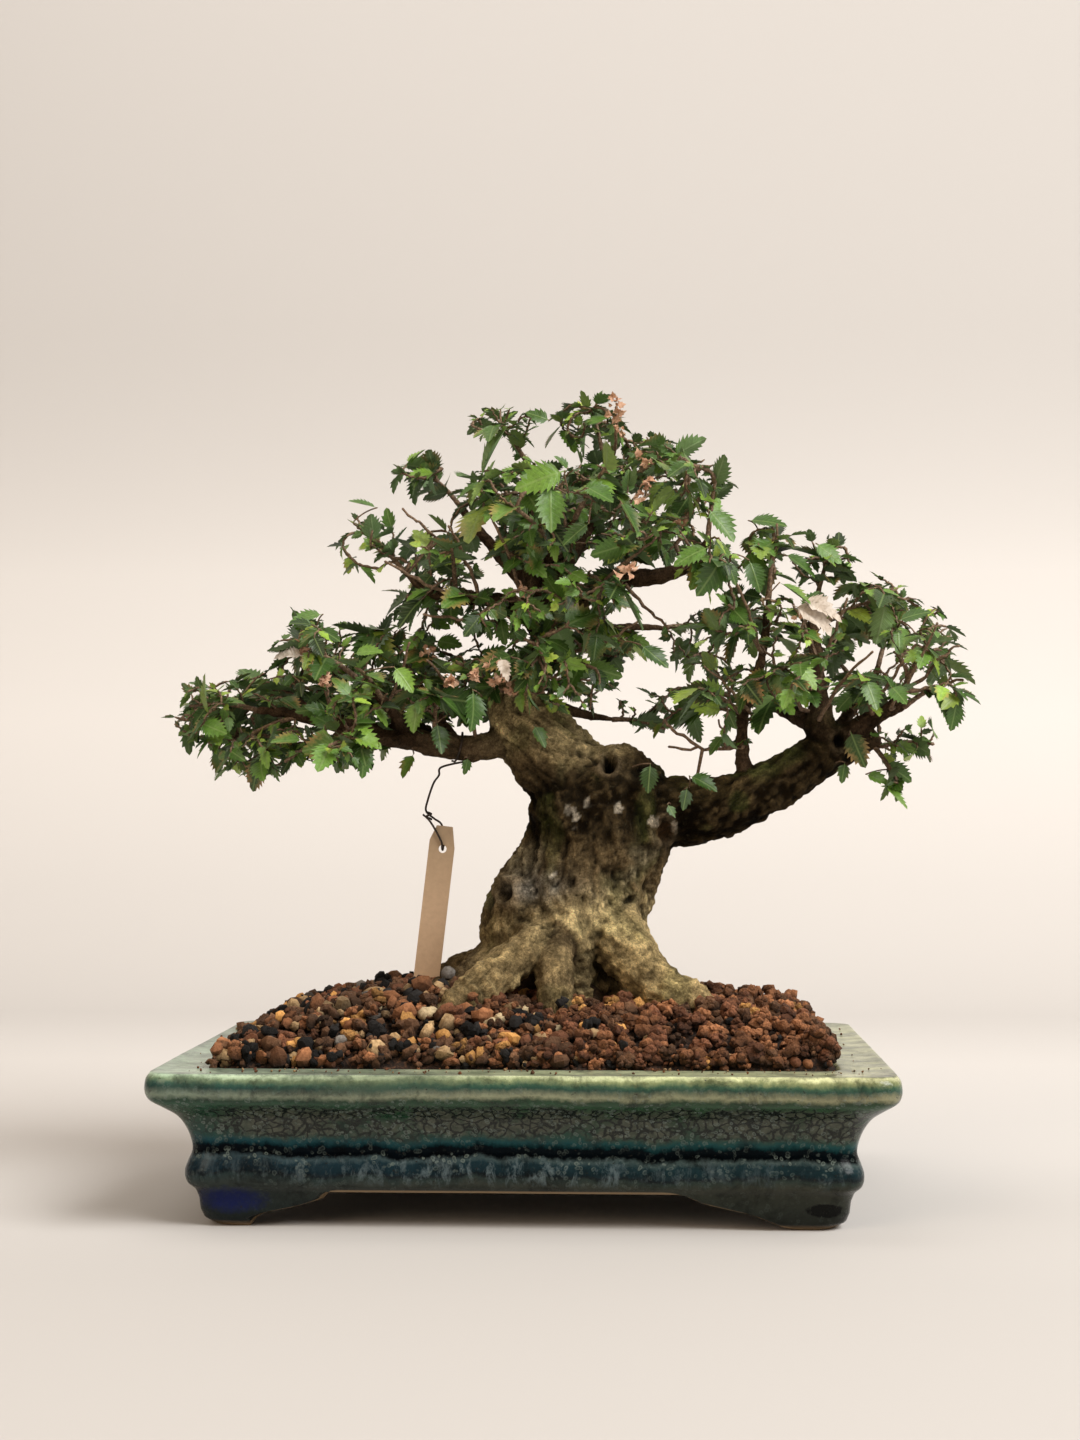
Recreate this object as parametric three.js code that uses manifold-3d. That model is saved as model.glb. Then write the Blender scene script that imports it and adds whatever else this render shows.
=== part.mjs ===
// Elm bonsai growing in a glazed stoneware pot, with its blank plant label on a wire.
// Millimetres, +Z up. Seen from the front, +X is to the right and +Y is away. Everything is
// worked out from the middle of the pot's footprint on the table, and the finished group is
// then moved so that the origin is the middle of the whole part's own footprint.
import * as THREE from 'three';
import { mergeVertices } from 'three/addons/utils/BufferGeometryUtils.js';
import Module from 'manifold-3d';

const wasm = await Module();
wasm.setup();

// Pot
const POT_WIDTH = 380;
const POT_DEPTH = 285;
const POT_HEIGHT = 80;
const POT_CORNER = 13;
const RIM_WIDTH = 30;
const RIM_EASE = 2.5;
const FLOOR_BOTTOM = 20;
const FLOOR_TOP = 28;
const SKIRT_INSET = 39;
const APRON_BOTTOM = 18.7;
const FOOT_CORNER_INSET = 24.3;
const SIDE_FOOT_LENGTH = 60;
const DRAIN_RADIUS = 12;
const DRAIN_OFFSET = 75;

// Soil
const CLEARANCE = 0.3;
const MOUND_RUN = 70;
const MOUND_RISE = 19;
const MOUND_CREST = 9;
const MOUND_CREST_X = -50;
const MOUND_CREST_WIDTH = 45;
const EDGE_HEIGHT = 83.5;
const EDGE_LIFT_LEFT = 5;
const EDGE_LIFT_RIGHT = 11;
const CRUMB_HEIGHT = 2;
const PEBBLE_COUNT = 44;
const PEBBLE_SEED = 271;
const PEBBLE_RADII = [4.1, 7.1];
const PEBBLE_SHAPE = [1.15, 0.95, 0.8];
const PEBBLE_MARGIN = 11;
const PEBBLE_SINK = 0.22;
const RANDOM_STEP = 16807;
const RANDOM_RANGE = 2 ** 31 - 1;

// Drain screens
const SCREEN_SIDE = 34;
const SCREEN_THICKNESS = 1;
const SCREEN_SLOT = 3;
const SCREEN_SLOTS = 4;

// Trunk and roots
const TRUNK_SIDES = 16;
const FLUTES = 5;
const FLUTE_DEPTH = 0.07;
const FLUTE_TOP = [120, 190];
const SWELL_DEPTH = 0.03;
const TUBE_SIDE = new THREE.Vector3(0.31, 0.17, 0.93).normalize();

// Label and its wire
const LABEL_LENGTH = 100;
const LABEL_WIDTH = 14.6;
const LABEL_THICKNESS = 1;
const LABEL_HOLE_RADIUS = 2.3;
const LABEL_HOLE_DROP = 13;
const LABEL_LEAN = THREE.MathUtils.degToRad(6.6);
const LABEL_TOP = new THREE.Vector3(-51, 10, 202.5);
const LABEL_CLIPS = { left: [3.2, 8.5], right: [2.4, 12] };
const WIRE_RADIUS = 0.6;
const WIRE_WRAP = { share: 0.29, steps: 10, start: -2.1, turn: 0.72, back: 3.5, pitch: 0.75, room: 0.7 };
const KNOT_CENTRE = new THREE.Vector3(-59.6, 7, 208.4);
const KNOT = { radius: 1.5, steps: 12, turn: 0.75, pitch: 0.36 };

// Leaves
const LEAF_THICKNESS = 0.8;
const LEAF_FOLD = 0.35;
const LEAF_LENGTHS = [24, 27, 30];
const LEAF_HALF_WIDTH_SHARE = 0.3;
const LEAF_DROOP = 0.3;
const LEAF_SWING = 1.05;
const LEAF_SWING_SPREAD = 0.28;
const LEAF_LIFT = -0.12;
const LEAF_LIFT_SPREAD = 0.4;
const LEAF_ROLL_SPREAD = 0.3;
const STEM_OVERLAP = 0.002;
const SEAT_GAP = 0.42;
const LEAST_GAP = 0.25;
const SHOOT_BOW = 0.12;
const SHOOT_TURN = 0.2;
const SHOOT_TRIES = 13;
const LEAF_TRIES = 24;

const up = new THREE.Vector3(0, 0, 1);
const vec = ([x, y, z]) => new THREE.Vector3(x, y, z);

// Turns a closed geometry into a solid, with its shared corners merged.
function solidOf(geometry) {
  const plain = geometry.clone();
  plain.deleteAttribute('normal');
  plain.deleteAttribute('uv');
  const merged = mergeVertices(plain, 1e-4);
  return new wasm.Manifold(new wasm.Mesh({
    numProp: 3,
    vertProperties: new Float32Array(merged.attributes.position.array),
    triVerts: new Uint32Array(merged.index.array),
  }));
}

// Turns a solid back into a geometry.
function geometryOf(solid) {
  const { vertProperties, triVerts } = solid.getMesh();
  const geometry = new THREE.BufferGeometry();
  geometry.setAttribute('position', new THREE.BufferAttribute(vertProperties, 3));
  geometry.setIndex(new THREE.BufferAttribute(triVerts, 1));
  geometry.computeVertexNormals();
  return geometry;
}

const join = (solids) => wasm.Manifold.union(solids);

// Keeps the one body that matters of a solid that cutting has left in pieces.
function largest(solid) {
  const pieces = solid.decompose();
  pieces.sort((a, b) => b.volume() - a.volume());
  return pieces[0];
}

// A closed skin over rings of equal count, capped by a fan at each end.
function loft(rings) {
  const count = rings[0].length;
  const points = rings.flat();
  const middle = (ring) => ring.reduce((sum, p) => sum.add(p), new THREE.Vector3()).divideScalar(count);
  const first = points.push(middle(rings[0])) - 1;
  const last = points.push(middle(rings[rings.length - 1])) - 1;
  const index = [];
  for (let i = 0; i < count; i += 1) {
    const j = (i + 1) % count;
    index.push(first, j, i);
    const top = (rings.length - 1) * count;
    index.push(last, top + i, top + j);
    for (let k = 0; k < rings.length - 1; k += 1) {
      const a = k * count;
      const b = a + count;
      index.push(a + i, a + j, b + j, a + i, b + j, b + i);
    }
  }
  const geometry = new THREE.BufferGeometry().setFromPoints(points);
  geometry.setIndex(index);
  return solidOf(geometry);
}

// Corners of a rounded rectangle at one height, anticlockwise from its right side.
function roundedRing(halfX, halfY, radius, height, cornerSteps = 4, sideSteps = [1, 1]) {
  const ring = [];
  const corners = [[1, -1], [1, 1], [-1, 1], [-1, -1]];
  corners.forEach(([signX, signY], corner) => {
    const centreX = signX * (halfX - radius);
    const centreY = signY * (halfY - radius);
    for (let i = 0; i <= cornerSteps; i += 1) {
      const angle = (corner - 1 + i / cornerSteps) * Math.PI / 2;
      ring.push(new THREE.Vector3(centreX + radius * Math.cos(angle), centreY + radius * Math.sin(angle), 0));
    }
    const start = ring[ring.length - 1];
    const [nextX, nextY] = corners[(corner + 1) % 4];
    const turn = corner * Math.PI / 2;
    const end = new THREE.Vector3(
      nextX * (halfX - radius) + radius * Math.cos(turn),
      nextY * (halfY - radius) + radius * Math.sin(turn),
      0,
    );
    const steps = sideSteps[(corner + 1) % 2];
    for (let i = 1; i < steps; i += 1) {
      ring.push(start.clone().lerp(end, i / steps));
    }
  });
  ring.forEach((point) => {
    point.z = typeof height === 'function' ? height(point.x, point.y) : height;
  });
  return ring;
}

const potRing = (inset, height, ...steps) => roundedRing(
  POT_WIDTH / 2 - inset,
  POT_DEPTH / 2 - inset,
  POT_CORNER,
  height,
  ...steps,
);

// Pot: flared lip over a deep cove, a rounded belly, and a skirt cut away between four feet.
function buildPot() {
  const profile = [
    [31, 0], [26, 3.5], [24.3, 8], [23.6, 14], [22, 18.5], [19, 21.5], [17.7, 25], [17.6, 29],
    [18.8, 33], [20.8, 39], [19.5, 46], [17, 52], [13.5, 57], [8.5, 61], [3, 65], [0.8, 68],
    [0, 72], [0.6, 77], [2.5, 80],
  ];
  const outside = loft(profile.map(([inset, height]) => potRing(inset, height)));
  const inside = loft([
    potRing(RIM_WIDTH, FLOOR_TOP),
    potRing(RIM_WIDTH, POT_HEIGHT - RIM_EASE),
    potRing(RIM_WIDTH - RIM_EASE - 1, POT_HEIGHT + 1),
  ]);
  const recess = loft([
    potRing(SKIRT_INSET + 1, -1),
    potRing(SKIRT_INSET, APRON_BOTTOM - 2),
    potRing(SKIRT_INSET + 2, FLOOR_BOTTOM),
  ]);
  const drains = [-1, 1].map((side) => {
    const drill = new THREE.CylinderGeometry(DRAIN_RADIUS, DRAIN_RADIUS, 40, 16);
    drill.rotateX(Math.PI / 2);
    drill.translate(side * DRAIN_OFFSET, 0, FLOOR_TOP);
    return solidOf(drill);
  });
  return outside.subtract(join([inside, recess, ...archCutters(), ...drains])).simplify(0.01);
}

// The gaps between the feet: the front left foot is short and stepped like a cloud, the front
// right one runs out in a long curve, and the side feet are even.
function archCutters() {
  const footOutlines = {
    stepped: [[27, 0], [30, 4.6], [36, 6.8], [54.5, 10.6], [64, 13.6], [66.7, 17.2], [70, APRON_BOTTOM]],
    long: [[28, 0], [36, 1.5], [44, 4.5], [53.5, 8], [78, 13.6], [87, 17.7], [92.5, APRON_BOTTOM]],
    side: [[27, 0], [32, 4], [44, 8], [54, 13], [SIDE_FOOT_LENGTH, APRON_BOTTOM]],
  };
  const cutter = (half, length, left, right) => {
    const start = footOutlines[left].map(([along, height]) => [-half + along, height]);
    const end = footOutlines[right].map(([along, height]) => [half - along, height]).reverse();
    const outline = [[start[0][0], -2], ...start, ...end, [end[end.length - 1][0], -2]];
    const shape = new THREE.Shape(outline.map(([x, y]) => new THREE.Vector2(x, y)));
    const geometry = new THREE.ExtrudeGeometry(shape, { depth: length, bevelEnabled: false });
    geometry.translate(0, 0, -length / 2);
    geometry.rotateX(Math.PI / 2);
    return geometry;
  };
  const frontBack = cutter(POT_WIDTH / 2 - FOOT_CORNER_INSET, POT_DEPTH + 10, 'stepped', 'long');
  const leftRight = cutter(POT_DEPTH / 2 - FOOT_CORNER_INSET, POT_WIDTH + 10, 'side', 'side');
  leftRight.rotateZ(Math.PI / 2);
  return [solidOf(frontBack), solidOf(leftRight)];
}

// Height of the soil's surface: it climbs from the pot's opening to a mound round the trunk.
function soilHeight(x, y) {
  const halfX = POT_WIDTH / 2 - RIM_WIDTH;
  const halfY = POT_DEPTH / 2 - RIM_WIDTH;
  const inward = Math.max(0, Math.min(halfX - Math.abs(x), halfY - Math.abs(y)));
  const rise = 1 - (1 - Math.min(inward / MOUND_RUN, 1)) ** 2;
  const crest = MOUND_CREST * Math.exp(-(((x - MOUND_CREST_X) / MOUND_CREST_WIDTH) ** 2));
  const lift = EDGE_LIFT_LEFT * THREE.MathUtils.smoothstep(-x, 90, halfX)
    + EDGE_LIFT_RIGHT * THREE.MathUtils.smoothstep(x, 90, halfX);
  const crumb = CRUMB_HEIGHT * Math.sin(0.47 * x + 3 * Math.sin(0.31 * y))
    * Math.cos(0.53 * y + 3 * Math.sin(0.37 * x));
  return EDGE_HEIGHT + lift + (MOUND_RISE + crest) * rise + crumb;
}

// The same small random sequence on every run.
function seededRandom(seed) {
  let state = seed;
  return () => {
    state = (state * RANDOM_STEP) % RANDOM_RANGE;
    return state / RANDOM_RANGE;
  };
}

// Soil: gritty fill with larger pebbles standing out of its surface.
function buildSoil(cutters) {
  const wall = RIM_WIDTH + CLEARANCE;
  const steps = [2, [11, 8]];
  const surface = [wall, 36, 44, 53, 63, 74, 88, 106].map((inset) => potRing(inset, soilHeight, ...steps));
  const body = loft([potRing(wall, FLOOR_TOP + CLEARANCE, ...steps), ...surface]);
  const random = seededRandom(PEBBLE_SEED);
  const pebbles = [];
  for (let i = 0; i < PEBBLE_COUNT; i += 1) {
    const x = (random() - 0.5) * (POT_WIDTH - 2 * (wall + PEBBLE_MARGIN));
    const y = (random() - 0.5) * (POT_DEPTH - 2 * (wall + PEBBLE_MARGIN));
    const radius = THREE.MathUtils.lerp(...PEBBLE_RADII, random());
    const stone = new THREE.OctahedronGeometry(radius, 0);
    stone.scale(...PEBBLE_SHAPE);
    stone.rotateZ(random() * Math.PI);
    stone.rotateX(2 * random());
    stone.translate(x, y, soilHeight(x, y) + PEBBLE_SINK * radius);
    pebbles.push(solidOf(stone));
  }
  return largest(join([body, ...pebbles]).subtract(join(cutters)).simplify(0.1));
}

// Wood: each limb is a path of [x, y, z, radius] from its root to its tip.
const LIMBS = {
  leader: [
    [33, 0, 221, 26], [18, -2, 233, 24], [3, -4, 250, 20.5], [-8, -4, 265, 17], [-9, -2, 279, 13.5],
    [0, 0, 293, 11.5], [8, 1, 307, 10], [5, 2, 323, 8.5], [0, 4, 341, 6.5], [-1, 6, 361, 5],
    [1, 6, 382, 3.6], [0, 3, 401, 2.2],
  ],
  right: [
    [38, 0, 212, 25], [63, -3, 213, 22], [88, -5, 213, 19.5], [107, -6, 215, 17], [127, -6, 223, 15.5],
    [147, -4, 233, 14.5], [164, -2, 243, 13], [181, 0, 250, 9.5], [191, 2, 251, 5],
  ],
  left: [
    [-2, -3, 256, 11], [-19, -8, 249, 8.5], [-34, -12, 246, 7.2], [-51, -16, 248, 6.8], [-68, -18, 251, 6.2],
    [-86, -20, 255, 5.4], [-109, -22, 260, 4.4], [-132, -19, 265, 3.2], [-153, -15, 267, 2],
  ],
  crown_left: [
    [6, 0, 311, 6.5], [-7, -8, 325, 5.6], [-23, -14, 329, 4.6], [-42, -20, 329, 3.8], [-58, -26, 333, 2.8],
    [-70, -29, 343, 1.9],
  ],
  crown_left_back: [[3, 2, 330, 5], [-17, 20, 354, 3.6], [-37, 33, 378, 2.4], [-45, 38, 389, 1.8]],
  crown_right: [
    [9, 0, 315, 7.2], [29, -6, 331, 6.6], [52, -14, 340, 5.4], [71, -22, 341, 4.2], [89, -30, 346, 3],
    [97, -33, 359, 2],
  ],
  crown_mid: [[2, 3, 332, 5], [23, 16, 359, 3.6], [36, 27, 383, 2.5], [42, 33, 400, 1.8]],
  crown_front: [[4, 0, 325, 5], [8, -22, 344, 3.4], [17, -42, 360, 2.4], [25, -50, 369, 1.8]],
  crown_back: [[3, 4, 334, 5], [14, 34, 356, 3.4], [34, 58, 370, 2.4], [46, 70, 381, 1.8]],
  mid_back: [[5, 2, 299, 5], [31, 24, 313, 3.4], [60, 44, 318, 2.3], [74, 54, 318, 1.8]],
  left_up: [[-67, -18, 251, 4], [-80, -30, 270, 2.8], [-95, -40, 284, 1.8]],
  left_up_mid: [[-43, -14, 247, 4.4], [-57, -5, 269, 3], [-68, 3, 287, 1.9]],
  left_back: [[-51, -14, 248, 4.8], [-76, 15, 264, 3.3], [-104, 36, 273, 2.3], [-120, 47, 277, 1.8]],
  left_low: [[-98, -21, 258, 3.2], [-109, -29, 251, 1.9]],
  left_front: [[-66, -18, 251, 4], [-77, -38, 249, 2.8], [-84, -50, 249, 1.9]],
  right_twig: [
    [119, -6, 217, 5], [117, -10, 245, 3.7], [117, -14, 264, 3.4], [124, -18, 283, 2.9], [129, -21, 308, 2.2],
    [131, -23, 328, 1.8],
  ],
  right_up: [
    [167, -2, 242, 11], [161, -3, 257, 9], [160, 0, 273, 5.6], [159, 4, 296, 4], [157, 7, 314, 2.8],
    [159, 8, 328, 1.9],
  ],
  right_in: [[157, -1, 259, 6], [142, 12, 268, 3.6], [126, 24, 273, 2.6], [113, 30, 276, 1.8]],
  right_out: [[171, 0, 246, 9], [182, -7, 258, 6.2], [196, -14, 266, 3.6], [204, -19, 276, 1.9]],
  right_tip: [[192, -12, 263, 3.2], [205, -19, 268, 1.9]],
  right_back: [[168, 2, 247, 6], [181, 34, 269, 3.4], [193, 50, 283, 2.3], [199, 57, 295, 1.8]],
  right_low: [[184, 2, 250, 4], [194, -3, 247, 1.9]],
  centre_low: [[-2, 0, 273, 5], [28, 12, 266, 2.8], [44, 18, 263, 1.9]],
};

const ROOTS = [
  [
    [8, -12, 140, 17], [-6, -28, 127, 12.5], [-20, -42, 115, 11], [-34, -54, 105, 10], [-46, -63, 94, 9],
    [-53, -69, 82, 7],
  ],
  [[16, -16, 140, 16], [20, -35, 126, 10.5], [22, -47, 113, 9.5], [24, -56, 99, 9], [25, -62, 86, 7]],
  [[38, -8, 145, 19], [56, -16, 126, 14], [72, -22, 114, 11.5], [90, -26, 104, 9.5], [106, -29, 90, 7]],
  [[-12, 6, 146, 18], [-28, 14, 132, 12], [-43, 24, 119, 9.5], [-60, 33, 106, 8.5], [-72, 38, 91, 6]],
  [[34, 12, 143, 18], [56, 32, 122, 12], [78, 50, 104, 9.5], [90, 58, 88, 7]],
  [[8, 20, 140, 17], [2, 46, 122, 12], [-8, 68, 104, 9.5], [-12, 78, 88, 7]],
];

// Trunk slices, each [height, middle x, middle y, half width, half depth].
const TRUNK = [
  [78, 14, 0, 40, 34], [104, 13, 0, 49, 41], [118, 12.5, 0, 46.5, 39], [130, 12.5, 0, 45, 37.5],
  [143, 14, 0, 46, 36.5], [157, 18, 0, 46.5, 35.5], [170, 23, 0, 46.5, 34.5], [181, 28, 0, 44.5, 34],
  [191, 33.5, 0, 43, 33.5], [202, 37, -1, 41, 33], [214, 38, -2, 39.5, 31.5], [226, 39, -3, 35, 28],
  [237, 44, -3, 26, 21], [245, 46, -3, 11, 9],
];

const limbCurve = (path) => new THREE.CatmullRomCurve3(path.map(vec), false, 'catmullrom', 0.5);

function limbRadius(path, share) {
  const place = share * (path.length - 1);
  const index = Math.min(Math.floor(place), path.length - 2);
  return THREE.MathUtils.lerp(path[index][3], path[index + 1][3], place - index);
}

// A tapering tube along a path. Its rings turn with the path without twisting, and every ring
// is grown by the same amount where the tube is used to cut a clear seat for a neighbour.
function tube(curve, radiusAt, rings, sides, grow = 0) {
  const skin = [];
  const across = TUBE_SIDE.clone();
  for (let i = 0; i <= rings; i += 1) {
    const share = i / rings;
    const along = curve.getTangent(share);
    across.addScaledVector(along, -across.dot(along)).normalize();
    const other = along.clone().cross(across);
    const centre = curve.getPoint(share);
    if (i === 0) centre.addScaledVector(along, -grow);
    if (i === rings) centre.addScaledVector(along, grow);
    const radius = radiusAt(share) + grow / Math.cos(Math.PI / sides);
    const ring = [];
    for (let k = 0; k < sides; k += 1) {
      const angle = k / sides * 2 * Math.PI;
      ring.push(centre.clone()
        .addScaledVector(across, radius * Math.cos(angle))
        .addScaledVector(other, radius * Math.sin(angle)));
    }
    skin.push(ring);
  }
  return loft(skin);
}

function limbTube(path, grow) {
  const thick = path[0][3];
  const sides = thick > 20 ? 8 : thick > 6.3 ? 6 : 4;
  const rings = thick > 20 ? path.length : path.length - 1;
  return tube(limbCurve(path), (share) => limbRadius(path, share), rings, sides, grow);
}

// The trunk's own swell: an oval slice whose edge is fluted above the roots.
function trunkBody(grow) {
  return loft(TRUNK.map(([height, middleX, middleY, halfX, halfY]) => {
    const flute = FLUTE_DEPTH * (1 - THREE.MathUtils.smoothstep(height, ...FLUTE_TOP));
    const ring = [];
    for (let k = 0; k < TRUNK_SIDES; k += 1) {
      const angle = k / TRUNK_SIDES * 2 * Math.PI;
      const wave = 1 + flute * Math.cos(FLUTES * angle + 0.6)
        + SWELL_DEPTH * Math.sin(3 * angle + height / 24);
      ring.push(new THREE.Vector3(
        middleX + (halfX * wave + grow) * Math.cos(angle),
        middleY + (halfY * wave + grow) * Math.sin(angle),
        height,
      ));
    }
    return ring;
  }));
}

// Trunk: roots, trunk and every limb down to finger-thin ones are one piece of wood.
function buildTrunk(grow = 0) {
  const limbs = [...Object.values(LIMBS), ...ROOTS].map((path) => limbTube(path, grow));
  return largest(join([trunkBody(grow), ...limbs]).simplify(grow ? 0.02 : 0.15));
}

// Label: a thin strip with clipped top corners and one hole, leaning to the right.
function labelShape(grow = 0) {
  const half = LABEL_WIDTH / 2 + grow;
  const { left, right } = LABEL_CLIPS;
  return new THREE.Shape([
    [-half, -LABEL_LENGTH - grow], [half, -LABEL_LENGTH - grow], [half, -right[1]], [half - right[0], grow],
    [-half + left[0], grow], [-half, -left[1]],
  ].map(([x, y]) => new THREE.Vector2(x, y)));
}

function placeLabel(shape, thickness) {
  const steps = { depth: thickness, bevelEnabled: false, curveSegments: 10 };
  const geometry = new THREE.ExtrudeGeometry(shape, steps);
  geometry.translate(0, 0, -thickness / 2);
  geometry.rotateX(Math.PI / 2);
  geometry.rotateY(LABEL_LEAN);
  geometry.translate(...LABEL_TOP);
  return solidOf(geometry);
}

function buildLabel() {
  const shape = labelShape();
  shape.holes.push(new THREE.Path().absarc(0.6, -LABEL_HOLE_DROP, LABEL_HOLE_RADIUS, 0, 2 * Math.PI, true));
  return placeLabel(shape, LABEL_THICKNESS);
}

// Wire: through the label's hole, tied over its top edge, up in a loose curl, and wound round
// the left limb, which it clears by a hair.
function wirePath() {
  const hole = new THREE.Vector3(0.6, 0, -LABEL_HOLE_DROP);
  hole.applyAxisAngle(new THREE.Vector3(0, 1, 0), LABEL_LEAN).add(LABEL_TOP);
  const out = LABEL_THICKNESS / 2 + WIRE_RADIUS + CLEARANCE;
  const limb = limbCurve(LIMBS.left);
  const middle = limb.getPoint(WIRE_WRAP.share);
  const along = limb.getTangent(WIRE_WRAP.share);
  const reach = limbRadius(LIMBS.left, WIRE_WRAP.share) + WIRE_RADIUS + WIRE_WRAP.room;
  const side = along.clone().cross(up).normalize();
  const over = side.clone().cross(along).normalize();
  const turns = [];
  for (let i = 0; i <= WIRE_WRAP.steps; i += 1) {
    const angle = WIRE_WRAP.start + i * WIRE_WRAP.turn;
    turns.push(middle.clone()
      .addScaledVector(along, i * WIRE_WRAP.pitch - WIRE_WRAP.back)
      .addScaledVector(side, reach * Math.cos(angle))
      .addScaledVector(over, reach * Math.sin(angle)));
  }
  return [
    [-62.5, 4.5, 209], [-59, 6.2, 205.5], [hole.x - 3.5, hole.y - out - 0.8, hole.z + 10],
    [hole.x - 0.5, hole.y - out - 0.6, hole.z + 4], [hole.x - 0.2, hole.y - out, hole.z + 0.6],
    [hole.x, hole.y, hole.z - 0.6], [hole.x + 0.2, hole.y + out, hole.z + 0.6],
    [hole.x + 0.5, hole.y + out + 0.6, hole.z + 4], [hole.x - 0.6, hole.y + out + 0.5, hole.z + 13.5],
    [-56.8, 9.5, 206.8], [-61, 6.6, 211], [-59.5, 2, 217.5],
    [-56, -2, 226.5], [-52.6, -6, 231], [-50.6, -11, 235.5],
  ].map(vec).concat(turns);
}

function buildWire() {
  const curve = new THREE.CatmullRomCurve3(wirePath(), false, 'catmullrom', 0.5);
  const strand = tube(curve, () => WIRE_RADIUS, 54, 4);
  const knotTurns = [];
  for (let i = 0; i <= KNOT.steps; i += 1) {
    const angle = i * KNOT.turn;
    knotTurns.push(KNOT_CENTRE.clone().add(new THREE.Vector3(
      KNOT.radius * Math.cos(angle),
      KNOT.radius * Math.sin(angle),
      (i - KNOT.steps / 2) * KNOT.pitch,
    )));
  }
  const knot = tube(new THREE.CatmullRomCurve3(knotTurns), () => WIRE_RADIUS, KNOT.steps, 4);
  return join([strand, knot]);
}

// Drain screens: plates with long slots, lying on the floor over each drain hole.
function buildScreen(side) {
  const block = (width, depth, height, x) => {
    const box = new THREE.BoxGeometry(width, depth, height);
    box.translate(side * DRAIN_OFFSET + x, 0, FLOOR_TOP + CLEARANCE + SCREEN_THICKNESS / 2);
    return solidOf(box);
  };
  const slots = [];
  for (let i = 0; i < SCREEN_SLOTS; i += 1) {
    const x = (i - (SCREEN_SLOTS - 1) / 2) * 2 * SCREEN_SLOT;
    slots.push(block(SCREEN_SLOT, SCREEN_SIDE - 4 * SCREEN_SLOT, 2 * SCREEN_THICKNESS, x));
  }
  return block(SCREEN_SIDE, SCREEN_SIDE, SCREEN_THICKNESS, 0).subtract(join(slots));
}

function screenSeat(side) {
  const room = SCREEN_SIDE + 2 * CLEARANCE;
  const box = new THREE.BoxGeometry(room, room, 2 * SCREEN_THICKNESS + 4 * CLEARANCE);
  box.translate(side * DRAIN_OFFSET, 0, FLOOR_TOP + CLEARANCE);
  return solidOf(box);
}

// Leafy shoots: [name, limb, share along the limb, where the shoot ends].
const SHOOTS = [
  ['left_1', 'left', 1, [-193, -8, 270]],
  ['left_2', 'left', 0.84, [-162, -22, 250]],
  ['left_3', 'left', 0.8, [-152, 10, 284]],
  ['left_4', 'left_up', 1, [-123, -48, 300]],
  ['left_5', 'left_up', 0.55, [-92, -66, 288]],
  ['left_6', 'left_front', 1, [-104, -76, 246]],
  ['left_7', 'left_up_mid', 1, [-86, 10, 314]],
  ['left_8', 'left_back', 1, [-150, 62, 285]],
  ['left_9', 'left_back', 0.6, [-98, 70, 284]],
  ['left_10', 'left', 0.4, [-50, -54, 272]],
  ['left_11', 'leader', 0.3, [-40, -40, 292]],
  ['left_12', 'left_low', 1, [-133, -44, 238]],
  ['left_13', 'left', 0.9, [-154, 26, 254]],
  ['crown_1', 'crown_left', 1, [-91, -33, 364]],
  ['crown_2', 'crown_left', 0.6, [-42, -46, 354]],
  ['crown_3', 'crown_left_back', 1, [-64, 44, 408]],
  ['crown_4', 'crown_left_back', 0.55, [-48, 62, 372]],
  ['crown_5', 'leader', 1, [-18, -4, 428]],
  ['crown_6', 'leader', 0.86, [2, -32, 402]],
  ['crown_7', 'crown_mid', 1, [34, 38, 439]],
  ['crown_8', 'crown_front', 1, [42, -66, 394]],
  ['crown_9', 'crown_front', 0.55, [-8, -62, 374]],
  ['crown_10', 'crown_back', 1, [68, 82, 402]],
  ['crown_11', 'crown_right', 1, [101, -38, 390]],
  ['crown_12', 'crown_right', 0.72, [98, -60, 346]],
  ['crown_13', 'crown_right', 0.42, [52, -52, 356]],
  ['crown_14', 'crown_mid', 0.5, [6, 56, 394]],
  ['crown_15', 'mid_back', 1, [104, 72, 318]],
  ['crown_16', 'mid_back', 0.6, [46, 66, 306]],
  ['crown_17', 'crown_left', 0.28, [-26, -46, 318]],
  ['crown_18', 'crown_mid', 0.8, [76, 16, 412]],
  ['crown_19', 'crown_back', 0.45, [2, 88, 352]],
  ['low_1', 'leader', 0.46, [36, -42, 288]],
  ['low_2', 'centre_low', 1, [74, 24, 258]],
  ['low_3', 'leader', 0.38, [-14, 50, 298]],
  ['right_1', 'right_twig', 1, [134, -24, 362]],
  ['right_2', 'right_twig', 0.72, [108, -48, 322]],
  ['right_3', 'right_twig', 0.4, [92, -34, 278]],
  ['right_4', 'right_up', 1, [168, 12, 358]],
  ['right_5', 'right_up', 0.6, [148, -34, 310]],
  ['right_6', 'right_in', 1, [84, 42, 282]],
  ['right_7', 'right_in', 0.5, [132, 58, 290]],
  ['right_8', 'right_out', 1, [216, -28, 302]],
  ['right_9', 'right_out', 0.5, [178, -46, 284]],
  ['right_10', 'right_tip', 1, [226, -36, 280]],
  ['right_11', 'right_back', 1, [210, 72, 326]],
  ['right_12', 'right_back', 0.55, [168, 62, 306]],
  ['right_13', 'right_low', 1, [222, -10, 248]],
  ['right_14', 'right_low', 0.5, [203, -16, 224]],
  ['right_15', 'right_up', 0.78, [194, 10, 330]],
  ['right_16', 'right_twig', 0.55, [146, -56, 290]],
];
const LEAF_NODES = [0.34, 0.5, 0.66, 0.82, 0.97];
const NODE_HALF_LENGTH = 0.8;
const SHOOT_RADII = [1.5, 0.9];

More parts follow.
